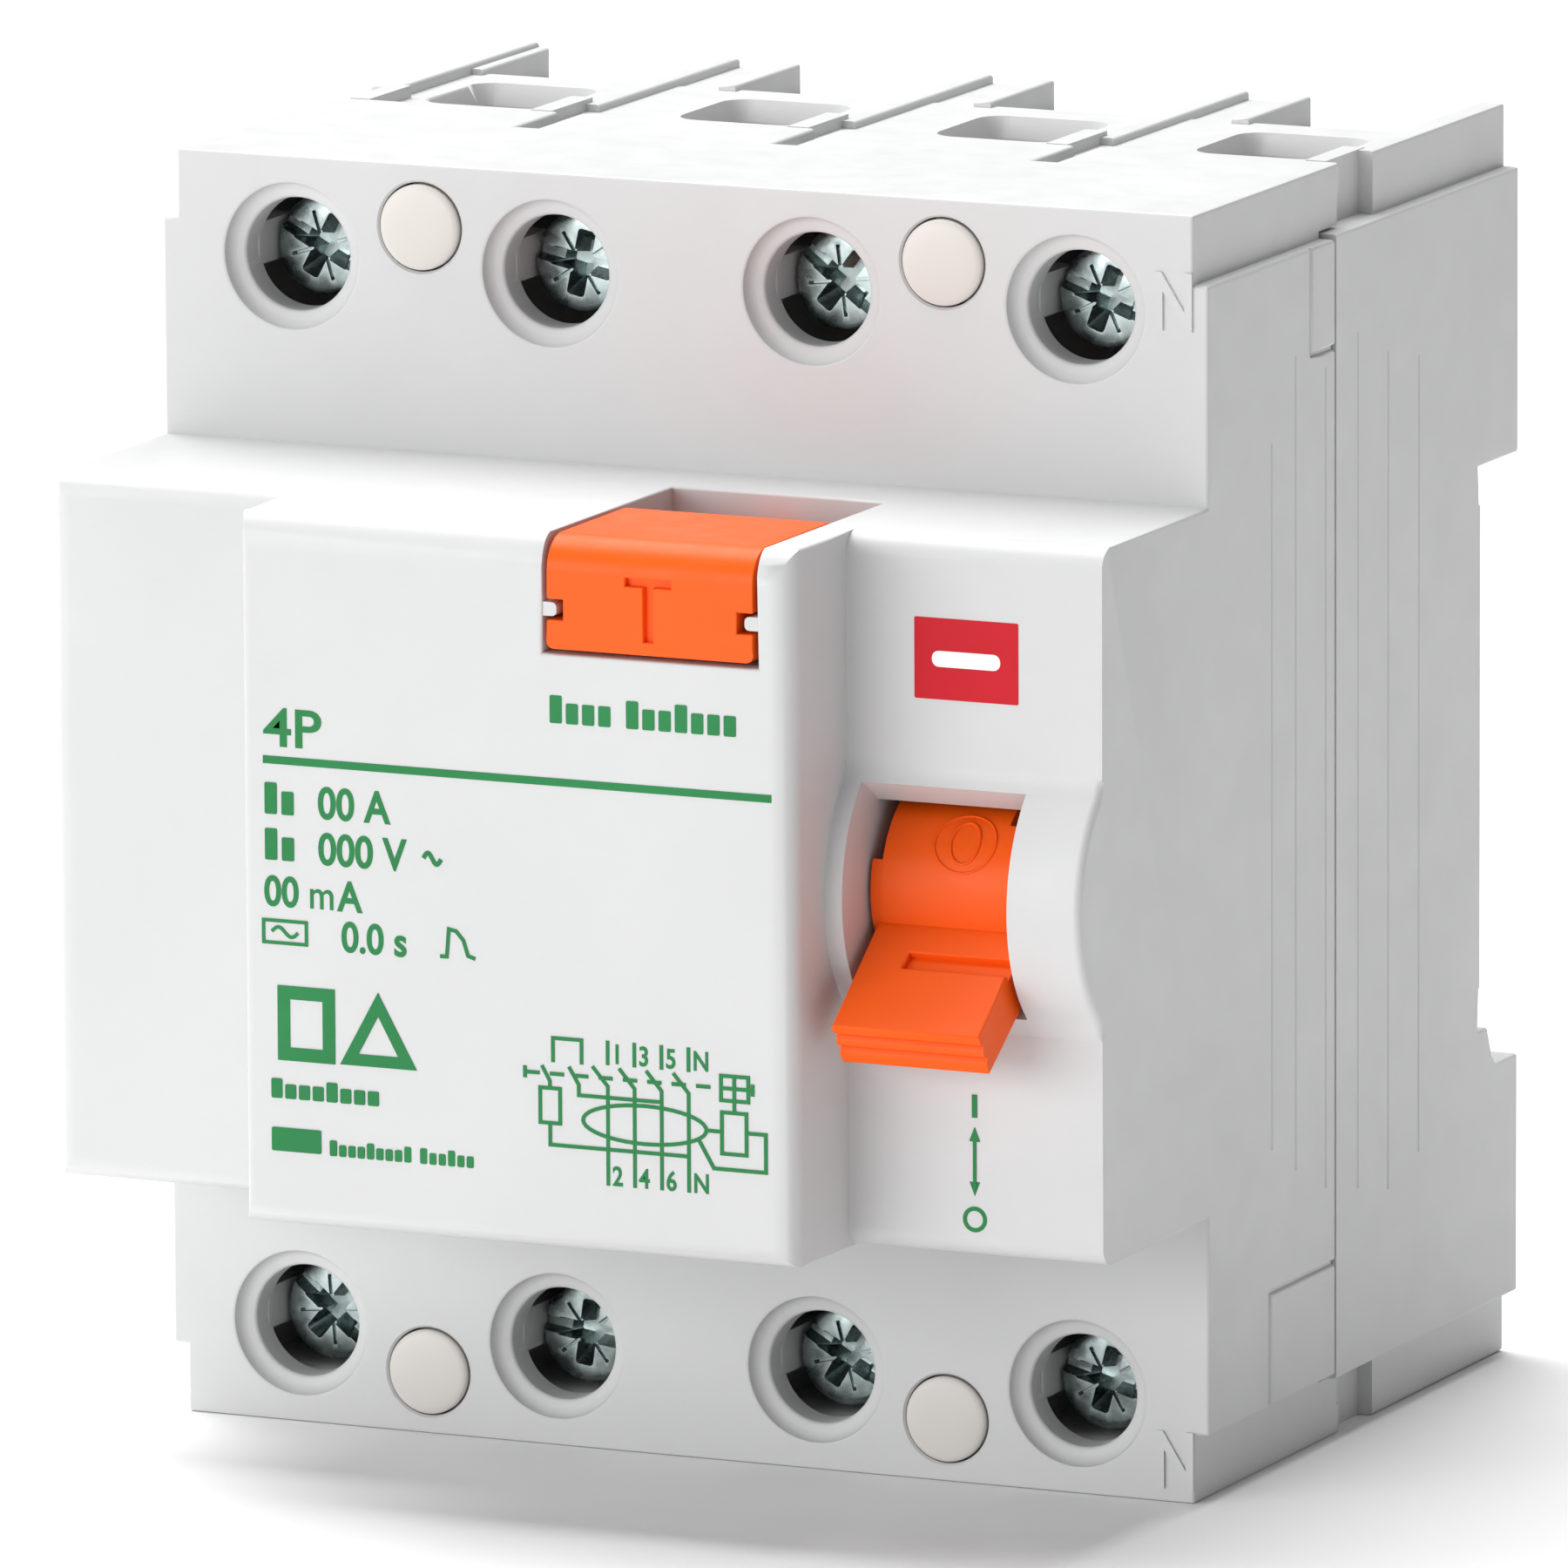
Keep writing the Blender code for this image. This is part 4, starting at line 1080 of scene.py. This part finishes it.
def schematic():
    """The circuit diagram: four poles through a current transformer, the test branch and the relay."""
    width = 0.24
    columns = (6.2, 8.02, 9.86, 11.7)
    face = PANEL_Y
    pieces = []

    def line(*points):
        pieces.append(ribbon("line", list(points), width, face))

    for number, (x, name, under) in enumerate(zip(columns, "135N", "246N")):
        line((x, -8.95), (x, -10.5))
        line((x - 1.05, -10.65), (x, -11.85), (x, -18.1))
        pieces.append(lettering(name, x + 0.28, -10.35, 1.25, face, squeeze=0.85))
        pieces.append(lettering(under, x + 0.28, -18.05, 1.25, face, squeeze=0.85))
    line((2.47, -10.6), (2.47, -9.07), (4.42, -9.07), (4.42, -10.6))
    line((3.55, -10.8), (4.22, -11.9), (4.22, -12.55), (9.86, -12.55))
    line((1.7, -10.85), (2.25, -11.8), (2.25, -12.2))
    body = [(1.58, -12.25), (2.94, -12.25), (2.94, -14.45), (1.58, -14.45)]
    pieces.append(ribbon("resistor", body, width, face, closed=True))
    line((2.25, -14.45), (2.25, -15.82), (11.7, -15.82))
    oval = [(8.7 + 4.2 * math.cos(t), -14.08 + 1.2 * math.sin(t)) for t in angles(40)]
    pieces.append(ribbon("core", oval, width, face, closed=True))
    line((12.9, -14.08), (13.95, -14.08))
    winding_box = [(13.95, -12.85), (15.62, -12.85), (15.62, -15.45), (13.95, -15.45)]
    relay_box = [(13.9, -10.55), (15.75, -10.55), (15.75, -12.1), (13.9, -12.1)]
    for outline in (winding_box, relay_box):
        pieces.append(ribbon("relay", outline, width, face, closed=True))
    line((13.9, -11.33), (16.05, -11.33))
    line((14.8, -10.55), (14.8, -12.85))
    line((16.05, -10.95), (16.05, -11.7))
    line((15.62, -14.05), (16.93, -14.05), (16.93, -16.43), (13.4, -16.43), (12.4, -14.75))
    line((0.55, -10.95), (0.55, -11.7))
    for step in range(8):
        start = 0.6 + 1.66 * step
        line((start, -11.33), (start + 0.95, -11.33))
    made = join("schematic_print", pieces)
    return dress(made, PRINT_GREEN, "case_grey", "case")


def angles(count):
    return [2 * math.pi * step / count for step in range(count)]


def legend():
    """The I, the double arrow and the O below the toggle."""
    x, face = 27.37, CAP_Y
    ring = [(x + 0.68 * math.cos(t), -20.07 + 0.68 * math.sin(t)) for t in angles(32)]
    pieces = [
        ribbon("on", [(x, -12.2), (x, -13.65)], 0.34, face),
        ribbon("shaft", [(x, -14.7), (x, -18.2)], 0.22, face),
        patch("head", [(x, -14.25), (x + 0.36, -15.15), (x - 0.36, -15.15)], face),
        patch("head", [(x, -18.6), (x - 0.36, -17.7), (x + 0.36, -17.7)], face),
        ribbon("off", ring, 0.27, face, closed=True),
    ]
    made = join("legend_print", pieces)
    return dress(made, PRINT_GREEN, "case_grey", "case")


def label():
    """A plain red label with a generic white bar."""
    made = patch("red_label", rounded_rectangle((23.4, 30.4), (12.45, 17.55), 0.1, 2), CAP_Y)
    dress(made, LABEL_RED, "case_grey", "case")
    mark = patch("label_bar", rounded_rectangle((24.6, 29.2), (14.5, 15.5), 0.45, 4), CAP_Y - 0.03)
    return dress(mark, LABEL_WHITE, "case_grey", "case")


def pole_letters():
    """The raised N beside the neutral terminals."""
    pieces = []
    for z in (33.6, -39.8):
        pieces.append(lettering("N", 32.3, z, 3.7, SHOULDER_Y, depth=0.16, squeeze=0.72))
    made = join("neutral_letters", pieces)
    return dress(made, CASE_GREY, "case_grey", "case")


# ---------------------------------------------------------------- parts that keep their CAD shape


def repaint():
    """Procedural materials for the CAD nodes that stay in view."""
    looks = {
        "terminal_clamp": CLAMP_ZINC,
        "upper_busbar": COPPER,
        "lower_busbar": COPPER,
        "moving_contact": COPPER,
        "primary_conductor": COPPER,
        "case_rivet": STEEL,
        "toggle_pivot_pin": STEEL,
        "toggle_link": STEEL,
        "contact_bar": BLACK,
        "contact_bar_spring": STEEL,
        "test_contact_spring": STEEL,
        "relay_plunger": STEEL,
        "trip_lever": STEEL,
        "trip_relay": BLACK,
        "toroid_core": CORE_TAPE,
        "secondary_winding": ENAMEL,
        "test_resistor": RESISTOR,
    }
    for name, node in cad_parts.items():
        kinds = [kind for kind in looks if name.startswith(kind)]
        if kinds and not node.hide_render:
            node.data.materials.clear()
            node.data.materials.append(looks[max(kinds, key=len)])


# ---------------------------------------------------------------- stage


def floor():
    made = box("floor", (-3000, 3000), (-3000, 3000), (-HALF_H - 20, -HALF_H))
    material, tree, shader = new_material("floor_paper")
    fibres = noise(tree, 60.0, 4.0)
    tree.links.new(ramp(tree, fibres, (0.91, 0.91, 0.91), (0.93, 0.93, 0.93)), shader.inputs["Base Color"])
    shader.inputs["Roughness"].default_value = 0.9
    shader.inputs["Specular IOR Level"].default_value = 0.1
    made.data.materials.append(material)


def area_light(name, place, size, power, target=(0, -0.03, 0)):
    data = bpy.data.lights.new(name, "AREA")
    data.shape = "RECTANGLE"
    data.size, data.size_y = size
    data.energy = power
    light = bpy.data.objects.new(name, data)
    bpy.context.scene.collection.objects.link(light)
    light.location = place
    light.rotation_euler = (Vector(target) - Vector(place)).to_track_quat("-Z", "Y").to_euler()
    return light


def studio():
    world = bpy.data.worlds.new("studio")
    world.use_nodes = True
    background = world.node_tree.nodes["Background"]
    background.inputs["Color"].default_value = (1.0, 1.0, 1.0, 1.0)
    background.inputs["Strength"].default_value = 0.27
    bpy.context.scene.world = world
    area_light("top_softbox", (-0.5, 0.28, 1.2), (1.4, 1.2), 34.0, (-0.5, 0.28, 0))
    area_light("front_softbox", (-0.6, -1.2, 0.26), (1.2, 0.55), 10.8)
    bpy.context.scene.view_settings.view_transform = "Standard"


def camera():
    """A long lens from the front right, slightly above."""
    yaw, pitch, roll = math.radians(24.51), math.radians(10.545), math.radians(-0.267)
    back = Vector((math.sin(yaw) * math.cos(pitch), -math.cos(yaw) * math.cos(pitch), math.sin(pitch)))
    right = Vector((math.cos(yaw), math.sin(yaw), 0))
    up = back.cross(right)
    level_right = right * math.cos(roll) + up * math.sin(roll)
    level_up = up * math.cos(roll) - right * math.sin(roll)
    data = bpy.data.cameras.new("camera")
    data.sensor_width = 36.0
    data.lens = 493.7
    data.clip_start, data.clip_end = 0.05, 20.0
    made = bpy.data.objects.new("camera", data)
    bpy.context.scene.collection.objects.link(made)
    turn = Matrix((level_right, level_up, back)).transposed().to_4x4()
    eye = (0.557, -1.2503, 0.2498)
    made.matrix_world = Matrix.Translation(eye) @ turn
    bpy.context.scene.camera = made


camera()
studio()
floor()
front_shell()
base_shell()
fittings()
toggle()
button()
for latch_hand, latch_x in zip(("left", "right"), LATCH_X):
    latch(latch_hand, latch_x)
ratings()
schematic()
legend()
label()
pole_letters()
repaint()
